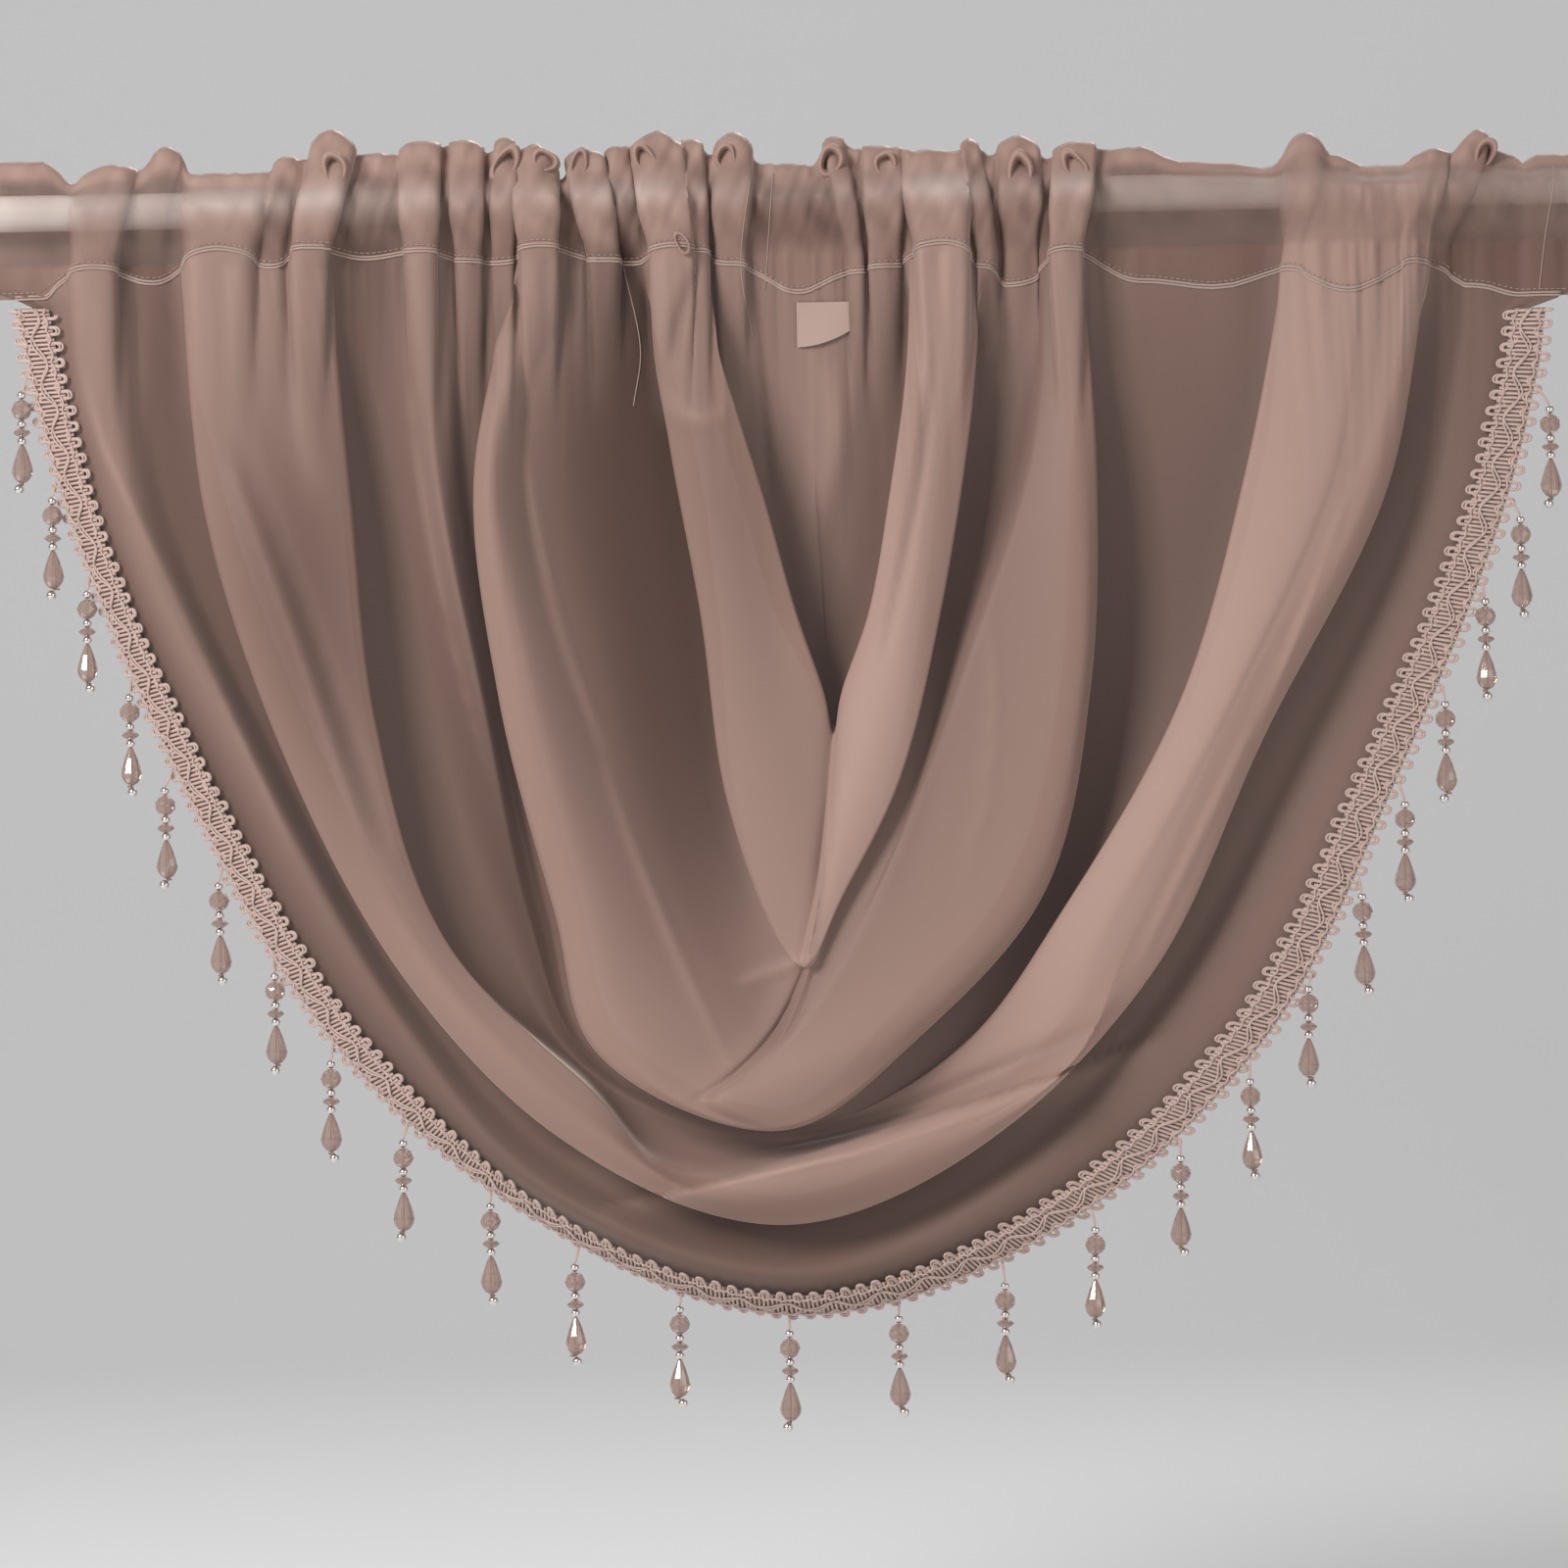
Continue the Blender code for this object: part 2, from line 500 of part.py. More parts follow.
voile = finish("voile", (0.30, 0.19, 0.155), 0.62)
cord = finish("braid_cord", (0.40, 0.275, 0.235), 0.5)
clear = finish("bead_clear", (0.62, 0.42, 0.36), 0.06)
paint = finish("rod_paint", (0.88, 0.80, 0.75), 0.22)
tape = finish("label_tape", (0.36, 0.25, 0.21), 0.7)

points, quads, grid = cloth_sheet()
add_sheet("valance_cloth", points, quads, CLOTH_THICK, voile)
drops(*braid(grid, cord), clear)
rod(paint)
label(points, quads, tape)
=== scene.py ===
"""Looks of the voile swag valance: sheer gathered cloth on its rod, looped braid, bead drops, pale studio.

Lengths in the constants and tables are millimetres unless a comment says metres, in the frame of the solids:
origin on the rod's axis, X along the rod, -Y to the room, Z up.
"""

import math
import random

import bpy
import numpy as np
from mathutils import Matrix, Vector
from mathutils.bvhtree import BVHTree


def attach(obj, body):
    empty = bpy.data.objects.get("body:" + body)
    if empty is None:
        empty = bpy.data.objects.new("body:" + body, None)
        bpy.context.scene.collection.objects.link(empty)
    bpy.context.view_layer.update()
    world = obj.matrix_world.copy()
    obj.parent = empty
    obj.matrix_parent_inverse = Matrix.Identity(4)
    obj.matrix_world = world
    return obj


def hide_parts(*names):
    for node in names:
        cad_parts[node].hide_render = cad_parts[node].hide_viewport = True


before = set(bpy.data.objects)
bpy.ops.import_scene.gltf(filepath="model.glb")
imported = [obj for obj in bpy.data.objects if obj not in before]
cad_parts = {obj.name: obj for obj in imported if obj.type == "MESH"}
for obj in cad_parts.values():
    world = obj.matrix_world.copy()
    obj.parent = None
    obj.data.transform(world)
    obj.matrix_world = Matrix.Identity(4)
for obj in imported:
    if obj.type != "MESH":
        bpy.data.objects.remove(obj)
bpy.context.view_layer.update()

MM = 0.001
TINY = 1e-12

# Panel and its grid.
HEADER_BASE = -22.0  # height where the panel's folds start below the rod
HALF_STEPS = 150  # facets along half a fold line
FACET_STEPS = 7  # finer facets to each of the fold table's facets
FLARE = 13.0  # how far the header's ends stand out past the braid
FLARE_FROM = 262.0
FLARE_SPAN = 27.0
FLARE_FOOT = -40.0  # where the header ends at the middle, and its fall to the right
FOOT_FALL = 0.0196
FLARE_RISE = 4.0

# Pleats of the header.
PLEAT_FADE = -96.0  # height where the header's pleats have run out
PLEAT_WAIST = 0.75  # part of a pleat's half width where it leaves the header
PLEAT_FLAT = 0.45  # part of the waist that stays level across a pleat
PLEAT_REACH = 1.2  # where a pleat's sides end, in waists
PLEAT_ROUND = 0.12  # how much lower a pleat's sides are than its middle
LEAN_SPAN = 44.0  # height over which a pleat leans from its seam place to its top place
PLEAT_SWELL = 1.1  # how far a pleat's sides hang over the hollows beside it
SWELL_WIDTH = 6.0  # pleats with a wider waist than this swell no further
PLEAT_PUFF = 0.3  # how much wider a pleat is at the rod than at its seam
PUFF_FROM = -18.0
PUFF_RISE = 16.0
FULL_PUSH = 6.0  # a pleat that stands out this far is a full one

# Fine gathers beside the seam, and the header's wrinkles. A wave is its size, its radians for each millimetre
# across and up, and its phase.
GATHER_REACH = 34.0
GATHER_HEIGHT = 0.55
GATHER_WAVES = [(1.0, 0.71, 0.02, 1.3), (0.7, 1.13, -0.034, 0.4), (0.5, 1.9, 0.046, 0.0),
                (0.8, 0.37, 0.0, 2.0)]
GATHER_LEAST = 0.35  # part of the gathers that shows where the header is flat
GATHER_PUSH = 5.0  # the gathers are full on pleats that stand out this far
WRINKLE_WAVES = [(1.0, 0.55, 0.30, 0.0), (1.0, 0.83, -0.24, 2.0), (0.8, 0.31, 0.42, 4.0),
                 (0.6, 1.4, -0.5, 1.0)]
WRINKLE_HEIGHT = 0.5
WRINKLE_LEAST = 0.4
# Painted light and shade along the header's wrinkles.
WRINKLE_TONE = 0.10
RECESS_MOST = 0.45  # painted recess shade that stands for a flat stretch of the header

# Creases.
CREASE_STEPS = 60
CREASE_REACH = 3.2  # how far a crease is felt, in its widths
CREASE_END = 0.03  # how far into its rise a crease starts, as part of its length
CREASE_BLUNT = 0.6
STEP_RISE = 4.0  # how sharply a step rises, and how slowly it falls
STEP_FALL = 4.0

# Rod pocket and ruffle.
LOOP_DEPTH = 9.6  # front and back of the pocket's loop from the rod's axis
ROD_CLEAR = 8.3  # closest that the pocket comes to the rod's axis
FRONT_ROWS = 9
RISE_ROWS = 10
BACK_ROWS = 8
TUCK_GAP = 1.2  # back layer of the pocket behind the panel
RUFFLE_PINCH = 0.75  # how far the ruffle closes above the rod
PINCH_BY = 0.8
RUFFLE_ROUND = 6  # how late the ruffle closes at its rim
RUFFLE_WAVE = 0.55  # how far the ruffle swings forward where a pleat stands out, from this height up
WAVE_MIDDLE = 2.5
WAVE_FROM = 7.0
WAVE_RISE = 6.0
FRONT_FULL = 0.9  # parts of a pleat's push that the pocket's front and back show
BACK_FULL = 0.35
BACK_SWELL = 0.4  # part of a pleat's swell that shows behind the rod
POCKET_GATHER = 0.8  # part of the fine gathers that the pocket shows, and their lean up the ruffle
GATHER_LEAN = 0.3
LIFT_PART = 0.6  # part of the fine gathers that lifts the ruffle's rim, drawn closer and moved aside
LIFT_CLOSER = 1.3
LIFT_ASIDE = 7.0
SEAM_REACH = 30  # rows of the panel that the seam may lie in

# Painted light and shade of the cloth, and its cover.
TONE_BACK = 7.0  # depths where the folds are painted darkest, as shade in their recesses, and lightest
TONE_FRONT = -16.0
TONE_DEEP = 0.18
TONE_FULL = 0.80
# Painted light on pleats that stand forward and on the ruffle over the rod.
PLEAT_TONE = 0.9
RUFFLE_TONE = 1.0
RUFFLE_TONE_BY = 0.7  # part of the way up the ruffle where its painted light is full
TONE_BLEND = 10.0  # height above the seam where the panel's painted shade has turned into the pocket's
GLOW_Z = 2.5  # painted light on the cloth where the rod lies behind it, about this height, spread this far
GLOW_HEIGHT = 5.5
GLOW_LEAST = 0.45
PLEAT_COVER = 0.72
BACK_COVER = 0.93
VOILE_COVER = 0.97
RUFFLE_COVER_FROM = 0.45
RUFFLE_COVER_SPAN = 0.3
SEAM_COVER_TOP = 3.0  # height above the seam where its double cloth ends
SEAM_COVER_SPAN = 2.0

# Seam, sewn threads, curls and label.
HEM_RADIUS = 0.42
HEM_WIDTH = 1.1
HEM_PROUD = 0.6  # parts of its radius that the hem's lower and upper cords stand out of the cloth
HEM_UPPER = 0.3
HEM_SIDES = 6
HEM_STITCH = 2.4
STITCH_LENGTH = 1.7
STITCH_PITCH = 2.3
STITCH_RADIUS = 0.16
STITCH_FROM = 0.5
SEWN_RADIUS = 0.2
CURL_STEPS = 28
# Painted light that makes one side of each curl lighter than the other.
CURL_LIGHT = 0.14
CURL_OVAL = 0.10  # how much a curl's rings waver, two and three times a turn
CURL_KINK = 0.06
LABEL_LEFT = 4.0
LABEL_WIDTH = 22.0
LABEL_TOP = -39.5
LABEL_FOOT = -56.5
LABEL_SLANT = 7.0
LABEL_STEPS = 8
LABEL_CLEAR = 0.9
LABEL_LEVEL = 6.0  # width of the label that follows the cloth, the rest goes straight on
LABEL_BOW = 1.2

# Braid. Cross is the distance in from the cloth's edge, lift the height off its face.
BRAID_HALF = 9.0
BRAID_LIFT = 2.0
BRAID_TOP = 0.5  # how far the braid starts above the header's foot
EDGE_SPAN = 3  # facets in from the edge that set the braid's lie
CORD_STEPS = 16
CORD_RADIUS = 0.48
CORD_SIDES = 5  # sides of thick and thin cords
FINE_SIDES = 4
CORD_ACROSS = (0.0, -1.0, 0.12)  # direction that no cord runs along
LOOP_PITCH = 6.3
LOOP_ROOT = 6.5  # middle of the edge loops from the braid's middle
LOOP_SWELL = 0.55  # how upright a loop's sides stand
LOOP_FROM = 0.4
LOOP_SHIFT = 0.5  # part of a loop that one side of the braid is ahead of the other
# Cords of an edge loop: how far each swings in and out, and how much narrower it is than the widest.
LOOP_CORDS = ((3.05, 0.0), (2.0, 0.45))
# Unevenness of the loops: size of the quick and the slow wander, and the radians of each in a loop.
WANDER_QUICK = 0.30
WANDER_SLOW = 0.25
QUICK_RATE = 1.7
SLOW_RATE = 0.73
LOOP_ROLL = 0.3  # how far the loops lie over each other, and rise and fall along the braid
LOOP_HEAVE = 0.2
HEAVE_RATE = 1.9
RUNG_PITCH = 1.7
RUNG_HALF = 6.6
RUNG_BOW = 0.35
RUNG_RADIUS = 0.57
RUNG_FROM = 1.0
RUNG_POINTS = 5
RUNG_CROWN = 0.1
GROUND_HALF = 6.3
GROUND_TOP = -0.35
GROUND_FOOT = -0.75
GROUND_STEP = 0.8
GROUND_POINTS = 9
GROUND_RIPPLE = 0.18
GROUND_WAVE = 1.6
BIND_RADIUS = 0.40
BIND_STEP = 0.62
BIND_RIPPLE = 0.3
TRIM_FROM = 0.3  # where the ground and the binding start and end
# Rows of binding cord: distance in from the braid's middle, swing, wave length, phase, height.
BIND_ROWS = [(0.0, 2.5, 18.0, 0.0, 0.95), (0.4, 2.0, 18.0, 0.5, 0.85), (-4.9, 0.5, 6.3, 0.5, 0.7),
             (4.9, 0.5, 6.3, 2.0, 0.7)]

# Bead drops.
DROP_HIGH = 40.2
DROP_WIDE = [(9.0, 4.1), (24.0, 3.4), (33.0, 4.0)]  # widest beads: height above the end and radius
DROP_BESIDE = 8.0  # a drop whose top is this far above the braid's lowest point hangs beside the braid
DROP_LEAN = 0.8
DROP_SPIN = 2.0  # most turn of a bead against the first, in radians
BEAD_CLEAR = 0.4
END_LEAN = 1.6  # the beads lower than END_BELOW hang askew by up to this, and END_RISE of it higher
END_BELOW = 4.0
END_RISE = 0.25
THREAD_RADIUS = 0.35
THREAD_TUCK = 0.6  # how far the thread's lower end is inside the first bead
THREAD_STOPS = (DROP_HIGH, 20.0, 3.0)
TWIN_GAP = 0.45
SEAT_RISE = 4.0  # height of a drop's seat on the braid above its first bead
SEAT_INSET = 1.0  # how far inside the braid's outer edge the seats are
SEAT_STEP = 1.0
SEED = 7
# A drop's thread from its seat to its beads: the part of the way across and down, how far it stands out and
# up, and how far apart its two strands are.
THREAD_WAY = [(0.0, 0.0, 1.0, 0.8, 1.0), (0.3, 0.25, 0.4, 0.0, 1.0), (0.8, 0.75, 0.0, 0.0, 0.6),
              (1.0, 1.0, 0.0, 0.0, 0.0)]
BALL_ROWS = 9
BALL_CUT = 0.96
BALL_HOLE = 0.12

PEAR = [(0.0, 0.9), (0.8, 2.3), (2.6, 3.6), (4.6, 4.1), (7.4, 3.5), (10.4, 2.5), (12.6, 1.6), (14.3, 0.9)]
ROUND = [(0.0, 1.2), (0.9, 2.7), (2.3, 3.7), (3.7, 3.98), (5.1, 3.7), (6.5, 2.7), (7.4, 1.2)]
DISC = [(0.0, 1.2), (0.7, 2.6), (1.6, 3.4), (2.5, 2.6), (3.2, 1.2)]
RING = [(0.0, 0.8), (0.4, 1.2), (0.8, 0.8)]
# Beads of a drop from the last one upward: kind, height above the end, outline or radius, sides, twist.
BEADS = [
    ("ball", 0.0, 1.9, 14, 0.0), ("cut", 3.6, RING, 10, 0.0), ("cut", 4.6, PEAR, 10, 0.0),
    ("ball", 18.9, 1.75, 14, 0.0), ("cut", 22.3, DISC, 10, 0.5), ("ball", 25.4, 1.75, 14, 0.0),
    ("cut", 28.9, ROUND, 8, 0.5), ("ball", 36.5, 1.7, 14, 0.0),
]

# Colours.
VOILE_COLOUR = (0.30, 0.19, 0.155)
# The cloth's colour where its painted shade is darkest, in the folds' recesses.
VOILE_PAINTED_SHADE = (0.098, 0.052, 0.039)
SHEEN_COLOUR = (0.95, 0.78, 0.70)
# Colour of the painted light on the cloth where the rod lies behind it.
ROD_GLOW_PAINT = (0.46, 0.37, 0.335)
HEM_COLOUR = (0.335, 0.23, 0.19)
# The braid's ground threads, coloured darker than its cords as painted shade between them.
GROUND_SHADE_COLOUR = (0.20, 0.125, 0.10)
CORD_COLOUR = (0.47, 0.335, 0.29)
BEAD_COLOUR = (0.50, 0.36, 0.31)
SILVER_COLOUR = (0.72, 0.66, 0.63)
LABEL_COLOUR = (0.36, 0.25, 0.21)
ROD_COLOUR = (0.88, 0.80, 0.75)
STUDIO_COLOUR = (0.90, 0.90, 0.90)
WEAVE_SCALE = 1500.0  # grain of the weave, in waves to a metre, and its depth in metres
WEAVE_DETAIL = 2.0
WEAVE_STRENGTH = 0.08
WEAVE_DEPTH = 0.0002

# Studio. Lights and camera are in metres.
FLOOR_Z = -600.0
WALL_Y = 3200.0
BEND = 1500.0
BEND_STEPS = 24
STUDIO_REACH = 6000.0
LIGHT_AIM = (0, 0, -0.2)
# Square lights: name, place, size and watts.
LIGHTS = [("key", (-1.3, -1.5, 0.8), 0.8, 46), ("fill", (1.6, -1.5, 0.1), 1.2, 9),
          ("back", (0.3, 1.0, 0.9), 1.0, 4)]
SKY_STRENGTH = 0.35
# The photograph spans 600 mm at the cloth and is rolled a little, so that the rod rises to the right.
VIEW_WIDTH = 0.600
VIEW_CENTRE = (-0.0042, -0.2235)
VIEW_DISTANCE = 2.4
VIEW_ROLL = math.radians(1.07)
SENSOR_WIDTH = 36.0

# One row per fold line, from the braided edge to the middle of the panel: its x at 0, 25, 50, 75 and 90 % of
# its fall on the left, its lowest point, its x at 90 to 0 % on the right, and the facets to the next line.
LINES_HEAD = ("name", "l0", "l25", "l50", "l75", "l90", "low_x", "low_z", "r90", "r75", "r50", "r25", "r0",
              "facets")
LINES = [
    ("edge", -292, -268, -227, -169, -104, 0, -422, 108, 172, 225, 267, 291, 2),
    ("a_ridge", -266, -250, -206, -152, -103, -2, -411, 91, 146, 204, 249, 270, 2),
    ("a_valley", -250, -237, -197, -146, -97, -5, -400, 84, 137, 191, 239, 262, 1),
    ("u3_tuck", -234, -216, -184, -136, -84, -7, -381, 70, 121, 167, 218, 252, 1),
    ("u3_roll", -229, -223, -195, -147, -95, -7, -391, 80, 134, 180, 228, 245, 2),
    ("b_crest", -202, -195, -177, -139, -88, -20, -381, 88, 131, 177, 222, 238, 2),
    ("u4_edge", -175, -167, -159, -132, -82, -35, -371, 97, 127, 173, 215, 230, 1),
    ("u4_fall", -171, -171, -163, -136, -86, -33, -366, 91, 121, 169, 209, 223, 2),
    ("k_crest", -158, -156, -143, -116, -87, -12, -361, 83, 115, 164, 201, 215, 2),
    ("e_ridge", -139, -134, -119, -103, -84, -11, -357, 63, 101, 149, 174, 192, 1),
    ("k_tuck", -129, -128, -115, -98, -82, -11, -355, 66, 105, 153, 179, 187, 1),
    ("j_valley", -122, -123, -111, -94, -80, -11, -353, 50, 94, 128, 142, 146, 2),
    ("u6_tuck", -105, -111, -103, -83, -71, -10, -347, 34, 79, 103, 109, 118, 1),
    ("u6_roll", -102, -120, -112, -92, -79, -11, -355, 44, 91, 113, 117, 113, 1),
    ("f_crest", -93, -112, -100, -80, -67, -34, -344, 38, 80, 104, 108, 106, 2),
    ("f_crease", -83, -101, -84, -61, -41, -22, -333, 12, 36, 67, 93, 100, 2),
    ("g1_mid", -66, -74, -60, -44, -27, -8, -318, 13, 38, 62, 84, 93, 1),
    ("g2_tuck", -59, -38, -29, -24, -14, 2, -296, 15, 34, 50, 61, 83, 1),
    ("g2_left", -53, -46, -35, -27, -15, 2, -292, 18, 39, 57, 69, 76, 2),
    ("g2_crest", -42, -34, -19, -6, 3, 9, -258, 18, 32, 47, 56, 62, 2),
    ("g2_right", -31, -23, -10, 2, 11, 15, -205, 19, 29, 38, 45, 48, 1),
    ("recess", -27, -30, -19, -7, 6, 14, -199, 25, 37, 46, 52, 43, 2),
    ("floor", -12, -8, 0, 6, 12, 13, -170, 17, 22, 27, 31, 34, 3),
    ("middle", 10, 10, 10, 10, 10, 10, -112, 10, 10, 10, 10, 10, 0),
]
# One row per fold line: its depth at the header, a quarter down, low on the left and at the bottom, then back
# up the right side.
DEPTHS_HEAD = ("name", "y0", "y1", "y2", "y3", "y4", "y5", "y6")
DEPTHS = [
    ("edge", -2, 5, 4, 5, 2, 0, -1),
    ("a_ridge", -5, -8, -9, -8, 1, 3, 1),
    ("a_valley", -1, 3, 2, -2, 7, 7, 2),
    ("u3_tuck", -1, 4, 5, 1, 5, 6, 2),
    ("u3_roll", -6, -15, -16, -17, -14, -11, -4),
    ("b_crest", -5, -19, -21, -22, -18, -17, -6),
    ("u4_edge", -4, -13, -14, -17, -20, -18, -6),
    ("u4_fall", -1, 1, 1, -7, -20, -19, -7),
    ("k_crest", 0, 7, 8, -1, -19, -20, -8),
    ("e_ridge", -5, -8, 3, 0, -13, -15, -7),
    ("k_tuck", -2, -2, 6, -1, -4, -5, -1),
    ("j_valley", 0, 5, 7, -2, 3, 6, 1),
    ("u6_tuck", 0, 3, 4, -6, 3, 4, 0),
    ("u6_roll", -4, -16, -18, -23, -18, -15, -4),
    ("f_crest", -4, -20, -22, -28, -23, -19, -5),
    ("f_crease", -2, -8, -13, -24, -21, -13, -4),
    ("g1_mid", -3, -5, -7, -20, -17, 0, 0),
    ("g2_tuck", 0, 0, -4, -19, -13, 2, 0),
    ("g2_left", -4, -11, -15, -22, -22, -15, -5),
    ("g2_crest", -5, -16, -18, -19, -24, -20, -6),
    ("g2_right", -5, -15, -17, -14, -20, -18, -5),
    ("recess", -1, 2, 3, 0, 2, 2, -1),
    ("floor", -2, 4, 5, 4, 4, 2, -2),
    ("middle", -3, 1, 4, 4, 4, 1, -3),
]
LINE_XS = ("l0", "l25", "l50", "l75", "l90", "low_x", "r90", "r75", "r50", "r25", "r0")
# Part of its fall that a fold line has made at each of those, and their places and the depths' along it.
FALLS = (0.0, 0.25, 0.5, 0.75, 0.9, 1.0, 0.9, 0.75, 0.5, 0.25, 0.0)
FALL_PLACES = (0.0, 0.095, 0.19, 0.30, 0.385, 0.5, 0.615, 0.70, 0.81, 0.905, 1.0)
DEPTH_PLACES = (0.0, 0.11, 0.30, 0.5, 0.70, 0.89, 1.0)

# Step at the foot of the cowl, where its right side lies over its left.
COWL_STEP = 7.0
COWL_LINES = ("f_crest", "g2_crest")
COWL_REACH = 0.07
COWL_EDGE = 0.006
# Fold lines whose cloth turns sharply instead of rolling over.
CRISP_LINES = ("u3_roll", "u4_edge", "e_ridge", "u6_roll", "f_crease", "g2_left", "g2_right")
CRISP = 0.8

# One row per gather of the header: where its crest is at the seam and at the top, half its width, how far it
# stands out, the seam's height under it, its top and the notch that follows it to the right.
PLEATS_HEAD = ("name", "seam_x", "top_x", "half", "push", "seam_z", "top_z", "notch_z")
PLEATS = [
    ("end_left", -292, -284, 9, 1.0, -33, 20, 11),
    ("a", -264, -258, 11, 5.0, -22, 18, 16),
    ("a_side", -243, -236, 6, 1.5, -28, 25, 14),
    ("b", -216, -210, 17, 6.0, -16, 14, 14),
    ("b_side", -196, -192, 6, 2.0, -23, 20, 19),
    ("c", -182, -172, 8, 6.5, -16, 30, 20),
    ("c_side", -160, -156, 8, 0.5, -20, 21, 20),
    ("e", -139, -139, 7, 5.5, -18, 25, 23),
    ("e2", -121, -121, 6, 4.5, -22, 25, 20),
    ("e3", -108, -105, 5, 4.5, -23, 26, 19),
    ("f", -94, -95, 8, 8.0, -17, 23, 9),
    ("g1", -69, -77, 7, 5.5, -23, 21, 18),
    ("g1_side", -58, -64, 5, 2.0, -24, 22, 21),
    ("g2", -43, -48, 10, 8.5, -18, 27, 22),
    ("g2_side", -33, -36, 5, 4.0, -20, 24, 18),
    ("g3", -21, -19, 7, 4.5, -25, 26, 14),
    ("flat", 4, 2, 8, 1.0, -36, 14, 13),
    ("fold", 27, 19, 4, 3.5, -29, 24, 19),
    ("h_side", 38, 38, 7, 5.0, -27, 20, 18),
    ("h", 60, 57, 13, 8.5, -19, 18, 17),
    ("h_ear", 77, 69, 5, 4.0, -28, 22, 16),
    ("rest", 90, 90, 8, 4.0, -35, 23, 14),
    ("i", 107, 112, 7, 7.5, -22, 20, 17),
    ("j", 137, 136, 14, 0.5, -34, 18, 12),
    ("j_far", 166, 168, 12, 1.0, -37, 11, 9),
    ("k_left", 194, 203, 8, 2.0, -31, 22, 13),
    ("k", 217, 222, 31, 5.0, -40, 9, 9),
    ("k_right", 240, 246, 10, 3.0, -29, 15, 13),
    ("k_ear", 249, 266, 7, 2.5, -30, 22, 14),
    ("m", 266, 279, 8, 1.0, -38, 12, 9),
    ("end_right", 289, 288, 9, 1.5, -42, 12, 9),
]

# One row per bead drop: where it hangs and how low its last bead reaches.
DROPS_HEAD = ("x", "end_z")
DROPS = [
    (-292, -107.5), (-279, -148), (-269, -184), (-255, -224), (-242, -260), (-222, -297), (-201, -332),
    (-180, -366), (-153, -397), (-120, -422), (-88, -446), (-48, -463), (-6, -473), (36, -468), (77, -456),
    (112, -435), (145, -408), (172, -379), (195, -344), (216, -309), (233, -274), (249, -236), (265, -197),
    (279, -166), (291, -124),
]
# One row per soft crease: three places along it, its width, its height towards the room and its
# painted light, less than 0 for painted shade.
CREASES_HEAD = ("kind", "x0", "z0", "x1", "z1", "x2", "z2", "width", "height", "tone")
CREASES = [
    ("step", 130, -325, 0, -368, -70, -382, 4.0, 5.0, 0.36),
    ("ridge", 126, -312, 8, -367, -48, -372, 4.0, -3.0, -0.16),
    ("ridge", 30, -352, -10, -362, -40, -358, 3.5, -1.0, -0.08),
    ("ridge", -64, -381, -20, -372, 30, -363, 1.5, 1.2, 0.22),
    ("ridge", -62, -384, 0, -396, 60, -368, 7.0, 0.0, -0.22),
    ("step", -40, -341, 2, -322, 9, -262, 3.5, 1.5, 0.14),
    ("ridge", -88, -364, -74, -372, -60, -380, 4.0, 0.0, 0.30),
    ("ridge", -209, -92, -180, -165, -157, -241, 4.0, -2.6, -0.14),
    ("ridge", -213, -98, -186, -170, -163, -246, 2.4, 1.2, 0.12),
    ("ridge", -184, -70, -183, -90, -176, -112, 6.0, 1.8, 0.16),
    ("ridge", -99, -98, -96, -150, -72, -208, 2.2, 1.6, 0.16),
    ("ridge", -72, -215, -58, -262, -27, -328, 2.6, 1.3, 0.14),
    ("ridge", -268, -60, -264, -92, -250, -113, 2.4, 1.0, 0.24),
    ("ridge", -252, -110, -232, -150, -192, -244, 2.2, 1.2, 0.20),
    ("ridge", -145, -44, -147, -110, -117, -219, 1.6, 0.8, 0.20),
    ("ridge", -22, -298, -12, -294, 8, -289, 2.2, 1.6, 0.26),
    ("ridge", 56, -60, 52, -110, 34, -176, 2.6, -1.6, -0.20),
    ("ridge", -34, -26, -42, -45, -44, -62, 2.5, -2.0, -0.34),
    ("ridge", -13, -28, -9, -60, -7, -114, 1.8, -1.0, -0.28),
    ("ridge", -7, -92, -2, -128, 5, -164, 4.0, 0.0, -0.22),
    ("ridge", 74, -165, 80, -210, 62, -262, 1.8, 0.8, 0.14),
    ("ridge", 60, -150, 56, -200, 40, -262, 7.0, -1.2, -0.12),
    ("ridge", 214, -112, 196, -160, 176, -210, 2.2, 0.7, 0.08),
    ("ridge", 173, -208, 150, -252, 128, -298, 2.6, 0.8, 0.08),
    ("ridge", -46, -76, -34, -90, -22, -80, 4.5, 2.2, 0.20),
    ("ridge", 16, -62, 22, -90, 12, -122, 6.0, 2.5, 0.22),
]
# One row per line of thread on the cloth's face: three places along it and its number of points.
SEWN_HEAD = ("x0", "z0", "x1", "z1", "x2", "z2", "steps")
SEWN = [
    (-4, 10, -6, -12, -8, -34, 40), (-13, 6, -17, -25, -13, -52, 50), (294, 7, 291, -17, 288, -40, 40),
    (-62, -24, -56, -55, -59, -78, 40),
]
# One row per stretch of the header: how much of the rod its cloth hides, its painted shade between the
# gathers, and how much painted light a gather gets where the rod is behind it.
HEADER_HEAD = ("x", "cover", "recess", "glow")
HEADER = [
    (-300, 0.34, 0.44, 0.50), (-236, 0.50, 0.42, 0.45), (-215, 0.74, 0.35, 0.85), (-192, 0.80, 0.20, 0.60),
    (-172, 0.80, 0.24, 0.70), (-150, 0.80, 0.30, 0.50), (-120, 0.92, 0.14, 0.30), (-90, 0.95, 0.12, 0.25),
    (-60, 0.95, 0.14, 0.60), (-40, 0.95, 0.16, 0.30), (0, 0.92, 0.26, 0.25), (40, 0.93, 0.20, 0.30),
    (60, 0.93, 0.30, 0.75), (85, 0.94, 0.12, 0.20), (112, 0.90, 0.25, 0.50), (128, 0.58, 0.42, 0.10),
    (200, 0.58, 0.45, 0.10), (232, 0.72, 0.50, 0.20), (265, 0.72, 0.42, 0.10), (300, 0.60, 0.44, 0.05),
]
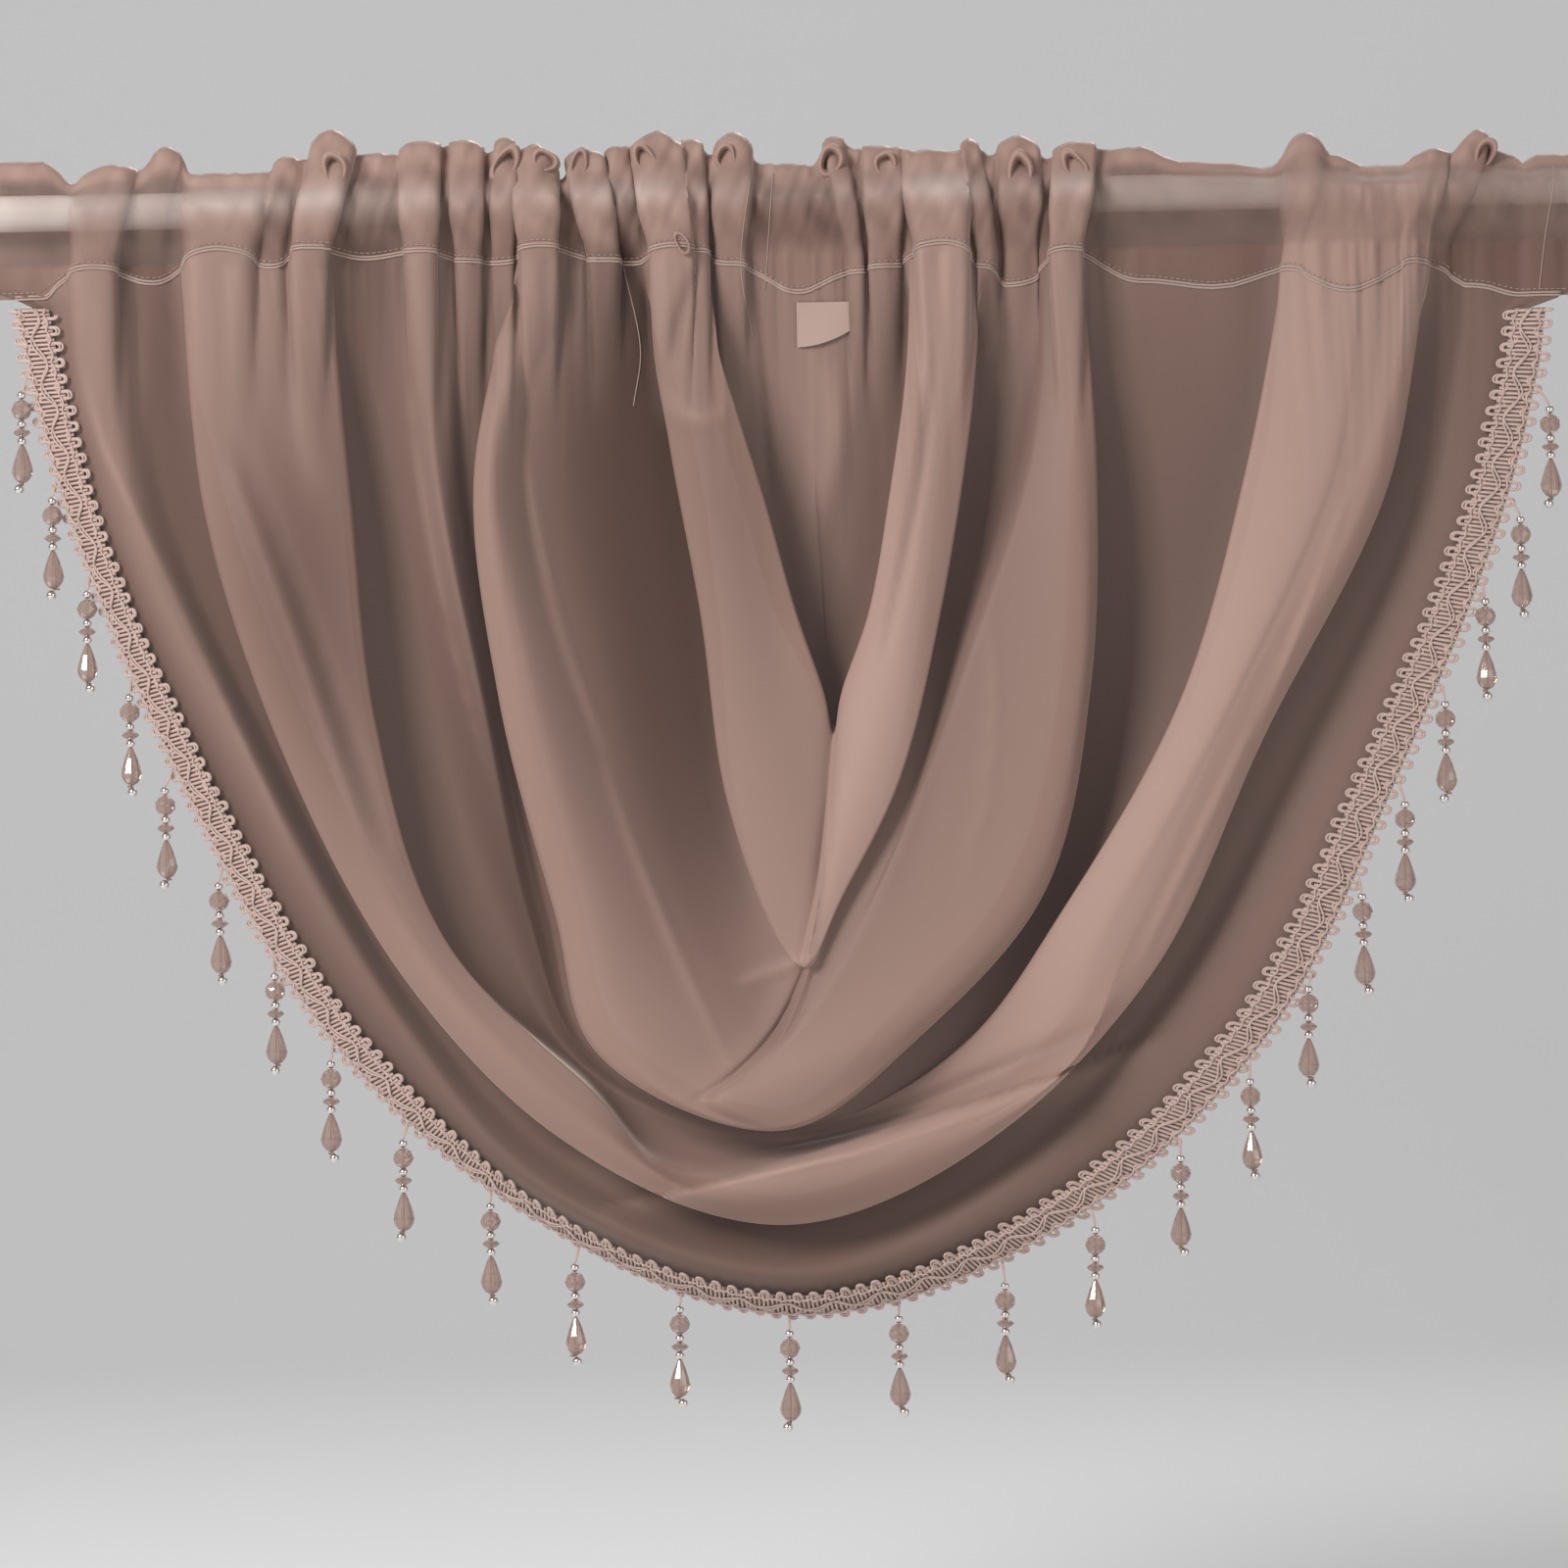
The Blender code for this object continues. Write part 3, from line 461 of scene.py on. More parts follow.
# Rings of a curl from behind its lip into its eye: part of its size, place behind the lip, and its painted
# light and shade, darkest in the eye.
CURL_PROFILE = [
    (1.06, 7.0, 0.45), (1.08, 4.0, 0.55), (1.06, 1.0, 0.75), (0.98, -1.2, 0.95), (0.86, -1.9, 1.05),
    (0.74, -1.6, 0.95), (0.62, -0.4, 0.55), (0.50, 1.6, 0.15), (0.34, 3.6, -0.1), (0.05, 4.6, -0.2),
]
# One row per curled loop of the ruffle: its middle, half its width and height, and its lean in degrees.
CURLS_HEAD = ("x", "z", "wide", "high", "lean")
CURLS = [
    (-106, 15, 4.2, 8.5, -28), (-78, 15, 3.4, 5.5, -20), (-171, 14, 5.0, 6.5, 14), (-91, 16, 4.5, 5.0, 35),
    (-39, -17, 2.6, 4.6, 30), (-53, 16, 4.0, 6.0, 20), (18, 14, 5.0, 6.0, -10), (90, 8, 4.4, 9.0, -8),
    (111, 10, 4.4, 6.5, 32), (268, 12, 4.0, 6.5, -30), (-22, 16, 4.0, 5.5, -15), (39, 12, 4.0, 6.0, 12),
]
# One row per fold line: painted light (above 0) and shade (below 0) on its cloth, at the places of
# its depths, over what its depth alone gives, and partly where it lies double.
SHADES_HEAD = ("name", "t0", "t1", "t2", "t3", "t4", "t5", "t6")
SHADES = [
    ("edge", -0.10, -0.30, -0.28, -0.40, 0.05, 0.00, -0.20),
    ("a_ridge", 0.05, -0.10, -0.38, -0.45, 0.08, 0.04, -0.18),
    ("a_valley", -0.30, 0.02, 0.18, -0.35, 0.14, 0.05, -0.18),
    ("u3_roll", 0.10, -0.26, 0.00, -0.02, 0.32, 0.16, 0.12),
    ("b_crest", 0.02, -0.66, 0.05, -0.16, 0.26, 0.22, 0.16),
    ("u4_edge", -0.05, -0.38, 0.10, 0.00, 0.22, 0.20, 0.14),
    ("u4_fall", -0.15, -0.05, 0.02, -0.08, 0.24, 0.20, 0.14),
    ("k_crest", -0.30, 0.06, 0.04, 0.26, 0.36, 0.24, 0.18),
    ("e_ridge", 0.00, -0.18, -0.22, 0.02, 0.30, 0.30, 0.20),
    ("k_tuck", 0.00, 0.00, 0.00, 0.00, -0.15, -0.28, -0.16),
    ("j_valley", 0.00, 0.05, 0.08, 0.12, -0.08, -0.05, 0.02),
    ("u6_roll", -0.05, 0.02, 0.02, 0.05, -0.12, -0.12, 0.02),
    ("f_crest", -0.08, -0.12, -0.06, 0.05, -0.04, -0.13, 0.00),
    ("f_crease", -0.05, -0.36, -0.42, -0.06, -0.22, -0.32, -0.16),
    ("g1_mid", -0.52, -0.66, -0.60, -0.32, -0.30, -0.25, 0.05),
    ("g2_tuck", -0.55, -0.42, -0.30, -0.22, -0.05, 0.10, 0.05),
    ("g2_left", 0.00, -0.18, -0.04, 0.05, 0.24, 0.08, 0.10),
    ("g2_crest", 0.06, -0.40, -0.18, 0.12, 0.42, 0.18, 0.14),
    ("g2_right", 0.00, -0.28, -0.05, 0.12, 0.28, 0.14, 0.10),
    ("recess", 0.10, 0.26, 0.12, 0.05, 0.08, 0.08, 0.05),
    ("floor", 0.05, 0.32, 0.26, 0.0, 0.1, 0.1, 0.05),
    ("middle", 0.15, 0.4, 0.42, 0.2, 0.3, 0.35, 0.15),
]


def table(rows, head):
    return [dict(zip(head, row)) for row in rows]


def column(rows, name):
    return np.array([row[name] for row in rows], float)


def soft(a):
    a = np.clip(a, 0.0, 1.0)
    return a * a * (3 - 2 * a)


def unit(rows):
    return rows / (np.linalg.norm(rows, axis=1)[:, None] + TINY)


def curve_through(places, values, at, crisp=None):
    """Smooth curve through values at places, read at the places in at. Values run along the last axis.

    A place with a crisp part above 0 meets its two stretches at an angle.
    """
    k, v, at = (np.asarray(a, float) for a in (places, values, at))
    gap = np.diff(k)
    rise = np.diff(v, axis=-1) / gap
    slope = np.empty_like(v)
    slope[..., 1:-1] = (rise[..., :-1] * gap[1:] + rise[..., 1:] * gap[:-1]) / (gap[:-1] + gap[1:])
    slope[..., 0], slope[..., -1] = rise[..., 0], rise[..., -1]
    sharp = np.zeros(len(k)) if crisp is None else np.asarray(crisp, float)
    leave = slope[..., :-1] + sharp[:-1] * (rise - slope[..., :-1])
    reach = slope[..., 1:] + sharp[1:] * (rise - slope[..., 1:])
    i = np.clip(np.searchsorted(k, at, side="right") - 1, 0, len(k) - 2)
    f, g = (at - k[i]) / gap[i], gap[i]
    return ((2 * f**3 - 3 * f**2 + 1) * v[..., i] + (f**3 - 2 * f**2 + f) * g * leave[..., i]
            + (3 * f**2 - 2 * f**3) * v[..., i + 1] + (f**3 - f**2) * g * reach[..., i])


def between(x, places, values):
    """Rounded peaks and notches through values at places."""
    i = np.clip(np.searchsorted(places, x, side="right") - 1, 0, len(places) - 2)
    f = soft((x - places[i]) / (places[i + 1] - places[i]))
    return values[i] + (values[i + 1] - values[i]) * f


pleats = table(PLEATS, PLEATS_HEAD)
creases = table(CREASES, CREASES_HEAD)
lines = table(LINES, LINES_HEAD)
depths = table(DEPTHS, DEPTHS_HEAD)
header = table(HEADER, HEADER_HEAD)


def quads(*corners):
    return np.stack(corners, axis=-1).reshape(-1, 4).tolist()


def ring_faces(rings, around, first=0):
    """Faces between rings of points, each ring of the given number of points, from the first point on."""
    here = np.arange(around)
    start = first + np.arange(rings - 1)[:, None] * around
    after = (here + 1) % around
    return quads(start + here, start + after, start + around + after, start + around + here)


def add_mesh(name, points, faces, *materials, slots=None, smooth=None):
    """New object from points in millimetres, smooth and in its first material unless its faces are listed."""
    mesh = bpy.data.meshes.new(name)
    mesh.from_pydata((np.asarray(points) * MM).tolist(), [], faces)
    for material in materials:
        mesh.materials.append(material)
    mesh.polygons.foreach_set("material_index", slots or [0] * len(faces))
    mesh.polygons.foreach_set("use_smooth", smooth or [True] * len(faces))
    mesh.update()
    obj = bpy.data.objects.new(name, mesh)
    bpy.context.scene.collection.objects.link(obj)
    return obj


def tubes(paths, radius, sides):
    """Points and faces of round cords along open paths."""
    points, faces, count = [], [], 0
    turn = np.linspace(0, 2 * np.pi, sides, endpoint=False)[None, :, None]
    ring = np.arange(sides)
    for path in paths:
        path = np.asarray(path, float)
        way = unit(np.gradient(path, axis=0))
        side = unit(np.cross(way, CORD_ACROSS))
        up = np.cross(side, way)
        skin = path[:, None] + radius * (np.cos(turn) * side[:, None] + np.sin(turn) * up[:, None])
        last = count + (len(path) - 1) * sides
        faces += ring_faces(len(path), sides, count)
        faces += [tuple(count + ring[::-1]), tuple(last + ring)]
        points.append(skin.reshape(-1, 3))
        count = last + sides
    return np.concatenate(points), faces


def run_along(path):
    """Length along a path at each of its points."""
    return np.concatenate([[0], np.cumsum(np.linalg.norm(np.diff(path, axis=0), axis=1))])


def read_path(at, place, path):
    """Points, or other rows of three, of a path at lengths along it."""
    return np.stack([np.interp(at, place, path[:, c]) for c in range(3)], axis=-1)


def add_cords(name, paths, radius, sides, material):
    points, faces = tubes(paths, radius, sides)
    return add_mesh(name, points, faces, material)


def set_looks(obj, **looks):
    """Store values for the object's points under the names that its material reads."""
    for name, values in looks.items():
        obj.data.attributes.new(name, "FLOAT", "POINT").data.foreach_set("value", values)


def top_height(x):
    peaks = column(pleats, "top_x")
    places = np.concatenate([peaks, (peaks[1:] + peaks[:-1]) / 2])
    heights = np.concatenate([column(pleats, "top_z"), column(pleats, "notch_z")[:-1]])
    order = np.argsort(places)
    return between(x, places[order], heights[order])


def seam_height(x):
    return between(x, column(pleats, "seam_x"), column(pleats, "seam_z"))


def foot_height(x):
    return FLARE_FOOT - FOOT_FALL * x


def pleat_shape(x, z):
    """How far the header's pleats stand forward at x and z, and how far sideways their sides swell."""
    lean = np.clip((z - HEADER_BASE) / LEAN_SPAN, 0.0, 1.0)
    push, swell = np.zeros_like(x), np.zeros_like(x)
    puff = 1 + PLEAT_PUFF * soft((z - PUFF_FROM) / PUFF_RISE)
    for p in pleats:
        waist = p["half"] * PLEAT_WAIST * puff
        off = x - (p["seam_x"] + (p["top_x"] - p["seam_x"]) * lean)
        part = 1 - soft((np.abs(off) / waist - PLEAT_FLAT) / (PLEAT_REACH - PLEAT_FLAT))
        push += p["push"] * part * (1 - PLEAT_ROUND * (off / waist) ** 2)
        full = min(p["push"] / FULL_PUSH, 1.0)
        swell += off * part * PLEAT_SWELL * full * np.minimum(1.0, SWELL_WIDTH / waist)
    fade = soft((z - PLEAT_FADE) / (HEADER_BASE - PLEAT_FADE))
    return push * fade, swell * fade


def fold_places(per_facet):
    """Places across the fold lines, from the edge (0) to the middle, with each row's number of facets."""
    out = [0.0]
    for i, row in enumerate(lines[:-1]):
        steps = row["facets"] * per_facet
        out += [i + (n + 1) / steps for n in range(steps)]
    return np.array(out)


def panel(along, across):
    """Grid of the panel's points: along runs down one side and up the other, across from the edge inward."""
    xs, ys, zs = [], [], []
    for row, deep in zip(lines, depths):
        fall = [HEADER_BASE + part * (row["low_z"] - HEADER_BASE) for part in FALLS]
        xs.append(curve_through(FALL_PLACES, [row[name] for name in LINE_XS], along))
        ys.append(curve_through(DEPTH_PLACES, [deep[name] for name in DEPTHS_HEAD[1:]], along))
        zs.append(curve_through(FALL_PLACES, fall, along))
    names = [row["name"] for row in lines]
    crisp = [CRISP * (name in CRISP_LINES) for name in names]
    count = np.arange(len(lines))
    x, y, z = (curve_through(count, np.array(rows).T, across, crisp) for rows in (xs, ys, zs))
    first, last = (names.index(name) for name in COWL_LINES)
    weight = soft(across - first + 1) * soft(last + 1 - across)
    side = np.tanh((along - 0.5) / COWL_EDGE) * np.exp(-np.abs(along - 0.5) / COWL_REACH)
    y = y - COWL_STEP / 2 * side[:, None] * weight[None, :]
    flare = np.clip((np.abs(x) - FLARE_FROM) / FLARE_SPAN, 0, 1) * soft((z - foot_height(x)) / FLARE_RISE)
    x = x + np.sign(x) * FLARE * flare
    return np.stack([x, y, z], axis=-1)


def wave_sum(waves, x, z):
    return sum(size * np.sin(across * x + up * z + phase) for size, across, up, phase in waves)


def fine_gathers(x, z):
    """Small upright creases beside the seam, left by the gathering, dying out down the panel."""
    near = np.exp(-np.abs(z - HEADER_BASE) / GATHER_REACH)
    full = between(x, column(pleats, "seam_x"), np.minimum(column(pleats, "push") / GATHER_PUSH, 1.0))
    return GATHER_HEIGHT * near * wave_sum(GATHER_WAVES, x, z) * (GATHER_LEAST + (1 - GATHER_LEAST) * full)


def wrinkles(x, z):
    """Slanting creases of the header, stronger where it is gathered closely."""
    close = between(x, column(header, "x"), 1 - column(header, "recess") / RECESS_MOST)
    return (WRINKLE_LEAST + (1 - WRINKLE_LEAST) * close) * wave_sum(WRINKLE_WAVES, x, z)


def crease_push(x, z):
    """Height and painted light and shade of the creases table at x and z."""
    total, crease_shading = np.zeros_like(x), np.zeros_like(x)
    t = np.linspace(0, 1, CREASE_STEPS)
    for c in creases:
        px, pz = ((1 - t)**2 * c[a + "0"] + 2 * t * (1 - t) * c[a + "1"] + t * t * c[a + "2"] for a in "xz")
        reach = CREASE_REACH * c["width"]
        near = (x > px.min() - reach) & (x < px.max() + reach)
        near &= (z > pz.min() - reach) & (z < pz.max() + reach)
        if not near.any():
            continue
        dx, dz = x[near][:, None] - px[None, :], z[near][:, None] - pz[None, :]
        away = dx * dx + dz * dz
        at = np.argmin(away, axis=1)
        row = np.arange(len(at))
        tx, tz = np.gradient(px)[at], np.gradient(pz)[at]
        side = np.sign(tx * dz[row, at] - tz * dx[row, at])
        d = np.sqrt(away[row, at]) * side / c["width"]
        shape = np.exp(-d * d)
        if c["kind"] == "step":
            shape = np.where(d > 0, np.exp(-d * d / STEP_FALL), 0) * np.tanh(STEP_RISE * d)
        along = np.clip(t[at] * (1 - 2 * CREASE_END) + CREASE_END, 0, 1)
        fade = np.sin(np.pi * along) ** CREASE_BLUNT
        total[near] += c["height"] * shape * fade
        crease_shading[near] += c["tone"] * shape * fade
    return total, crease_shading


def shade_of(along, across):
    """Painted light and shade of the fold lines' own table, spread between them."""
    rows = {row["name"]: row for row in table(SHADES, SHADES_HEAD)}
    plain = dict.fromkeys(SHADES_HEAD, 0.0)
    values = [[rows.get(line["name"], plain)[name] for name in SHADES_HEAD[1:]] for line in lines]
    spread = curve_through(DEPTH_PLACES, values, along)
    return curve_through(np.arange(len(lines)), spread.T, across)


def front_rows(foot):
    """Rows of the pocket's front from the panel's top row up to the rod's axis."""
    x0, y0 = foot[:, 0], foot[:, 1]
    for f in np.linspace(0, 1, FRONT_ROWS + 1)[1:]:
        z = HEADER_BASE * (1 - f) + 0 * x0
        push, swell = pleat_shape(x0, z)
        creased = POCKET_GATHER * fine_gathers(x0, z) + WRINKLE_HEIGHT * f * wrinkles(x0, z)
        front = -LOOP_DEPTH - FRONT_FULL * push - creased
        start = y0 - push
        yield np.stack([x0 + swell, start + (front - start) * soft(f), z], axis=-1), 0.0


def ruffle_rows(foot, side, parts):
    """Rows of the front (side -1) or back (side 1) of the ruffle, at parts of its height."""
    x0 = foot[:, 0]
    for f in parts:
        z = top_height(x0) * f
        push, swell = pleat_shape(x0, z)
        round_rod = np.sqrt(np.maximum(ROD_CLEAR**2 - z**2, 0))
        pinch = (1 - RUFFLE_PINCH * soft(f / PINCH_BY)) * max(1 - f**RUFFLE_ROUND, 0.0) ** 0.5
        deep = np.maximum((LOOP_DEPTH + (FRONT_FULL if side < 0 else BACK_FULL) * push) * pinch, round_rod)
        wave = RUFFLE_WAVE * (push - WAVE_MIDDLE) + POCKET_GATHER * fine_gathers(x0, z * GATHER_LEAN)
        wave = wave * soft((z - WAVE_FROM) / WAVE_RISE)
        lift = LIFT_PART * fine_gathers(x0 * LIFT_CLOSER + LIFT_ASIDE, z * 0) * f
        if side < 0:
            deep = np.maximum(deep + WRINKLE_HEIGHT * wrinkles(x0, z), round_rod)
        else:
            swell = swell * (BACK_SWELL + (1 - BACK_SWELL) * f)
        yield np.stack([x0 + swell, side * deep - wave, z + lift], axis=-1), f


def back_rows(foot, deep, goal):
    """Rows of the pocket's back from the rod's axis, where it is deep, down to its goal at the seam."""
    x0 = foot[:, 0]
    seam = seam_height(x0)
    for f in np.linspace(0, 1, BACK_ROWS + 1)[1:]:
        spread = pleat_shape(x0, seam * f)[1] * (BACK_SWELL + (1 - BACK_SWELL) * f)
        yield np.stack([x0 + spread, deep + (goal - deep) * f**2, seam * f], axis=-1), 0.0


def pocket_rows(foot, goal):
    """Rows from the panel's top row up the front, over the ruffle and down behind to the seam.

    Each row comes with the part of the way up the ruffle that it lies at, 0 below the rod's axis.
    """
    rise = np.linspace(0, 1, RISE_ROWS + 1)
    rows = [*front_rows(foot), *ruffle_rows(foot, -1, rise[1:]), *ruffle_rows(foot, 1, rise[-2::-1])]
    return rows + list(back_rows(foot, rows[-1][0][:, 1], goal))


def pocket_looks(number, row, high, foot, foot_tone, seam):
    """Painted light and shade, cover and painted rod glow of the pocket's row of this number."""
    push = np.clip(pleat_shape(foot[:, 0], row[:, 2])[0] / FULL_PUSH, 0, 1)
    thin, recess, glow = (between(row[:, 0], column(header, "x"), column(header, c)) for c in HEADER_HEAD[1:])
    ruffle = RUFFLE_TONE * soft(high / RUFFLE_TONE_BY)
    shade = recess + (1 - recess) * np.maximum(push * PLEAT_TONE, ruffle)
    shade += WRINKLE_TONE * wrinkles(row[:, 0], row[:, 2])
    above = 1.0
    if number < FRONT_ROWS:
        above = soft((row[:, 2] - np.maximum(seam, HEADER_BASE)) / TONE_BLEND)
    tone = foot_tone + (shade - foot_tone) * above
    if number >= FRONT_ROWS + RISE_ROWS:
        return tone, np.full(len(row), BACK_COVER), np.zeros(len(row))
    gathered = np.maximum(push * PLEAT_COVER, soft((high - RUFFLE_COVER_FROM) / RUFFLE_COVER_SPAN))
    sewn = soft((seam + SEAM_COVER_TOP - row[:, 2]) / SEAM_COVER_SPAN)
    shine = np.exp(-((row[:, 2] - GLOW_Z) / GLOW_HEIGHT)**2) * (GLOW_LEAST + (1 - GLOW_LEAST) * push)
    return tone, np.maximum(thin + (1 - thin) * gathered, sewn), glow * shine


def panel_grid():
    """Grids of the hung panel and of the panel before it is pleated and creased, and its painted light and
    shade.
    """
    along, across = np.linspace(0, 1, 2 * HALF_STEPS + 1), fold_places(FACET_STEPS)
    bare = panel(along, across)
    push, swell = pleat_shape(bare[..., 0], bare[..., 2])
    grid = bare + np.stack([swell, -push, 0 * push], axis=-1)
    rise, crease_shading = crease_push(grid[..., 0], grid[..., 2])
    grid[..., 1] -= fine_gathers(bare[..., 0], bare[..., 2]) + rise
    # Painted shade: the further back the cloth lies, the darker it is painted, as shade in the folds'
    # recesses.
    forward = soft((TONE_BACK - grid[..., 1]) / (TONE_BACK - TONE_FRONT))
    return grid, bare, shade_of(along, across) + crease_shading + TONE_DEEP + (TONE_FULL - TONE_DEEP) * forward


def build_cloth(material):
    """The whole cloth, its panel's grid, the lines down its front, and the seam's height on each of them."""
    grid, bare, tone = panel_grid()
    rows, columns = grid.shape[:2]
    half = rows // 2
    index = np.arange(rows * columns).reshape(rows, columns)
    index[half + 1:, -1] = index[half - 1::-1, -1]
    faces = quads(index[:-1, :-1], index[1:, :-1], index[1:, 1:], index[:-1, 1:])
    previous = np.array(list(index[0]) + list(index[-1][-2::-1]))
    foot, foot_tone = bare.reshape(-1, 3)[previous], tone.reshape(-1)[previous]
    fall_lines = [grid[:SEAM_REACH, j] for j in range(columns)]
    fall_lines += [grid[:-SEAM_REACH - 1:-1, j] for j in range(columns - 2, -1, -1)]
    seam = seam_height(foot[:, 0])
    face = [np.interp(-z, -line[:, 2], line[:, 1]) for z, line in zip(seam, fall_lines)]
    pocket = pocket_rows(foot, np.array(face) + TUCK_GAP)
    blocks, count = [grid.reshape(-1, 3)], rows * columns
    looks = [(tone.reshape(-1), np.ones(count), np.zeros(count))]
    for number, (row, high) in enumerate(pocket):
        now = count + np.arange(len(row))
        count += len(row)
        blocks.append(row)
        faces += quads(previous[:-1], previous[1:], now[1:], now[:-1])
        previous = now
        looks.append(pocket_looks(number, row, high, foot, foot_tone, seam))
    cloth = add_mesh("voile_swag", np.concatenate(blocks), faces, material)
    tones, covers, glows = (np.concatenate(parts) for parts in zip(*looks))
    set_looks(cloth, fold_tone=tones, cover=VOILE_COVER * covers, rod_glow=glows)
    risen = np.stack([row for row, _ in pocket[:FRONT_ROWS]], axis=1)
    front = [np.concatenate([line[::-1], rise]) for line, rise in zip(fall_lines, risen)]
    return cloth, grid, front, seam


def build_seam(front, seam, material):
    """Folded edge of the pocket along the seam, with its row of stitches, following the cloth's face."""
    lower, row = [], []
    for line, z in zip(front, seam):
        for out, rise in ((lower, 0.0), (row, HEM_STITCH)):
            x, y = (np.interp(z + rise, line[:, 2], line[:, c]) for c in (0, 1))
            out.append((x, y - HEM_RADIUS * HEM_PROUD, z + rise))
    upper = [(x, y + HEM_RADIUS * HEM_UPPER, z + HEM_WIDTH) for x, y, z in lower]
    hem = add_cords("pocket_hem", [lower, upper], HEM_RADIUS, HEM_SIDES, material)
    row = np.array(row)
    place = run_along(row)
    paths = [read_path(start + np.linspace(0, STITCH_LENGTH, 3), place, row)
             for start in np.arange(STITCH_FROM, place[-1] - STITCH_LENGTH, STITCH_PITCH)]
    return hem, add_cords("pocket_stitches", paths, STITCH_RADIUS, FINE_SIDES, material)


def face_finder(cloth):
    """Function that gives the depth of the cloth's face at x and z, or None beside the cloth."""
    tree = BVHTree.FromObject(cloth, bpy.context.evaluated_depsgraph_get())

    def face(x, z):
        hit = tree.ray_cast(Vector((x * MM, -1, z * MM)), Vector((0, 1, 0)))[0]
        return hit.y / MM if hit else None
    return face


def build_sewing(face, material):
    """Stitched joins and the loose thread, lying on the cloth's face."""
    paths = []
    for row in table(SEWN, SEWN_HEAD):
        at = np.linspace(0, 2, row["steps"])
        xs, zs = (curve_through((0, 1, 2), (row[a + "0"], row[a + "1"], row[a + "2"]), at) for a in "xz")
        path = [(x, face(x, z), z) for x, z in zip(xs, zs)]
        paths.append([(x, y - SEWN_RADIUS, z) for x, y, z in path if y is not None])
    return add_cords("sewn_threads", paths, SEWN_RADIUS, CORD_SIDES, material)


def build_curls(face, material):
    """Curled loops of the ruffle, set on the cloth's face: each a lip of cloth, painted lighter on one side,
    around an eye painted dark as shadow.
    """
    turn = np.linspace(0, 2 * np.pi, CURL_STEPS, endpoint=False)
    points, faces, tones = [], [], []
    for row in table(CURLS, CURLS_HEAD):
        front = face(row["x"], row["z"])
        if front is None:
            front = -LOOP_DEPTH / 2
        lean = math.radians(row["lean"])
        uneven = 1 + CURL_OVAL * np.sin(2 * turn + row["x"]) + CURL_KINK * np.sin(3 * turn + row["z"])
        faces += ring_faces(len(CURL_PROFILE), CURL_STEPS, len(points) * CURL_STEPS)
        for part, depth, tone in CURL_PROFILE:
            wide = row["wide"] * part * uneven * np.cos(turn)
            high = row["high"] * part * uneven * np.sin(turn)
            x = row["x"] + wide * math.cos(lean) - high * math.sin(lean)
            z = row["z"] + wide * math.sin(lean) + high * math.cos(lean)
            points.append(np.stack([x, front + depth + 0 * turn, z], axis=-1))
            tones += [tone + CURL_LIGHT * math.sin(a + lean) for a in turn]
    curls = add_mesh("ruffle_curls", np.concatenate(points), [f[:1] + f[:0:-1] for f in faces], material)
    set_looks(curls, fold_tone=tones, cover=[1.0] * len(tones))
    return curls


def build_label(face, material):
    """Folded tape below the seam, level with the flat cloth to its left, so that a gather covers it."""
    parts = np.linspace(0, 1, LABEL_STEPS + 1)
    points = []
    for part in parts:
        x = LABEL_LEFT + part * LABEL_WIDTH
        foot = LABEL_FOOT + part**2 * LABEL_SLANT
        for down in parts:
            z = LABEL_TOP + down * (foot - LABEL_TOP)
            bow = LABEL_BOW * down * math.sin(math.pi * part)
            points.append((x, face(min(x, LABEL_LEFT + LABEL_LEVEL), z) - LABEL_CLEAR - bow, z))
    index = np.arange(len(points)).reshape(len(parts), len(parts))
    faces = quads(index[:-1, :-1], index[:-1, 1:], index[1:, 1:], index[1:, :-1])
    return add_mesh("label_tape", points, faces, material)


class Edge:
    """The cloth's braided edge as smooth functions of the length along it."""

    def __init__(self, grid):
        edge, inner = grid[:, 0], grid[:, EDGE_SPAN]
        keep = edge[:, 2] < foot_height(edge[:, 0]) + BRAID_TOP
        self.edge = edge[keep]
        self.inward = unit(inner[keep] - self.edge)
        out = unit(np.cross(np.gradient(self.edge, axis=0), self.inward))
        self.out = out * -np.sign(out[:, 1:2])
        self.place = run_along(self.edge)
        self.length = self.place[-1]

    def at(self, length, cross, lift):
        edge, inward, out = (read_path(length, self.place, a) for a in (self.edge, self.inward, self.out))
        return edge + inward * np.asarray(cross)[..., None] + out * np.asarray(lift)[..., None]


def build_loops(edge, material):
    """Cords that run along both sides of the braid with a loop at each turn."""
    period = edge.length / round(edge.length / LOOP_PITCH)
    turns = np.arange(0, edge.length / period, 1 / CORD_STEPS)
    angle = 2 * np.pi * turns
    paths = []
    for side in (-1, 1):
        for swing, narrow in LOOP_CORDS:
            wander = (WANDER_QUICK * np.sin(turns * QUICK_RATE + swing + side)
                      + WANDER_SLOW * np.sin(turns * SLOW_RATE + 2 * side))
            cross = side * (LOOP_ROOT + swing * np.cos(angle) + wander)
            run = (turns + LOOP_SHIFT * (side > 0)) * period
            run += LOOP_SWELL * np.sin(2 * angle) - narrow * np.sin(angle)
            lift = BRAID_LIFT + LOOP_ROLL * np.sin(angle + side) + LOOP_HEAVE * np.sin(turns * HEAVE_RATE)
            keep = (run > LOOP_FROM) & (run < edge.length - LOOP_FROM)
            paths.append(edge.at(run[keep], cross[keep], lift[keep]))
    return add_cords("braid_loops", paths, CORD_RADIUS, FINE_SIDES, material)


def build_rungs(edge, material):
    """Close cords across the braid's ground, each a little bowed."""
    across = np.linspace(-1, 1, RUNG_POINTS)
    lift = BRAID_LIFT + RUNG_CROWN * np.cos(across * np.pi)
    paths = [edge.at(at + RUNG_BOW * across**2 * math.sin(at), RUNG_HALF * across, lift)
             for at in np.arange(RUNG_FROM, edge.length - RUNG_FROM, RUNG_PITCH)]
    return add_cords("braid_rungs", paths, RUNG_RADIUS, CORD_SIDES, material)


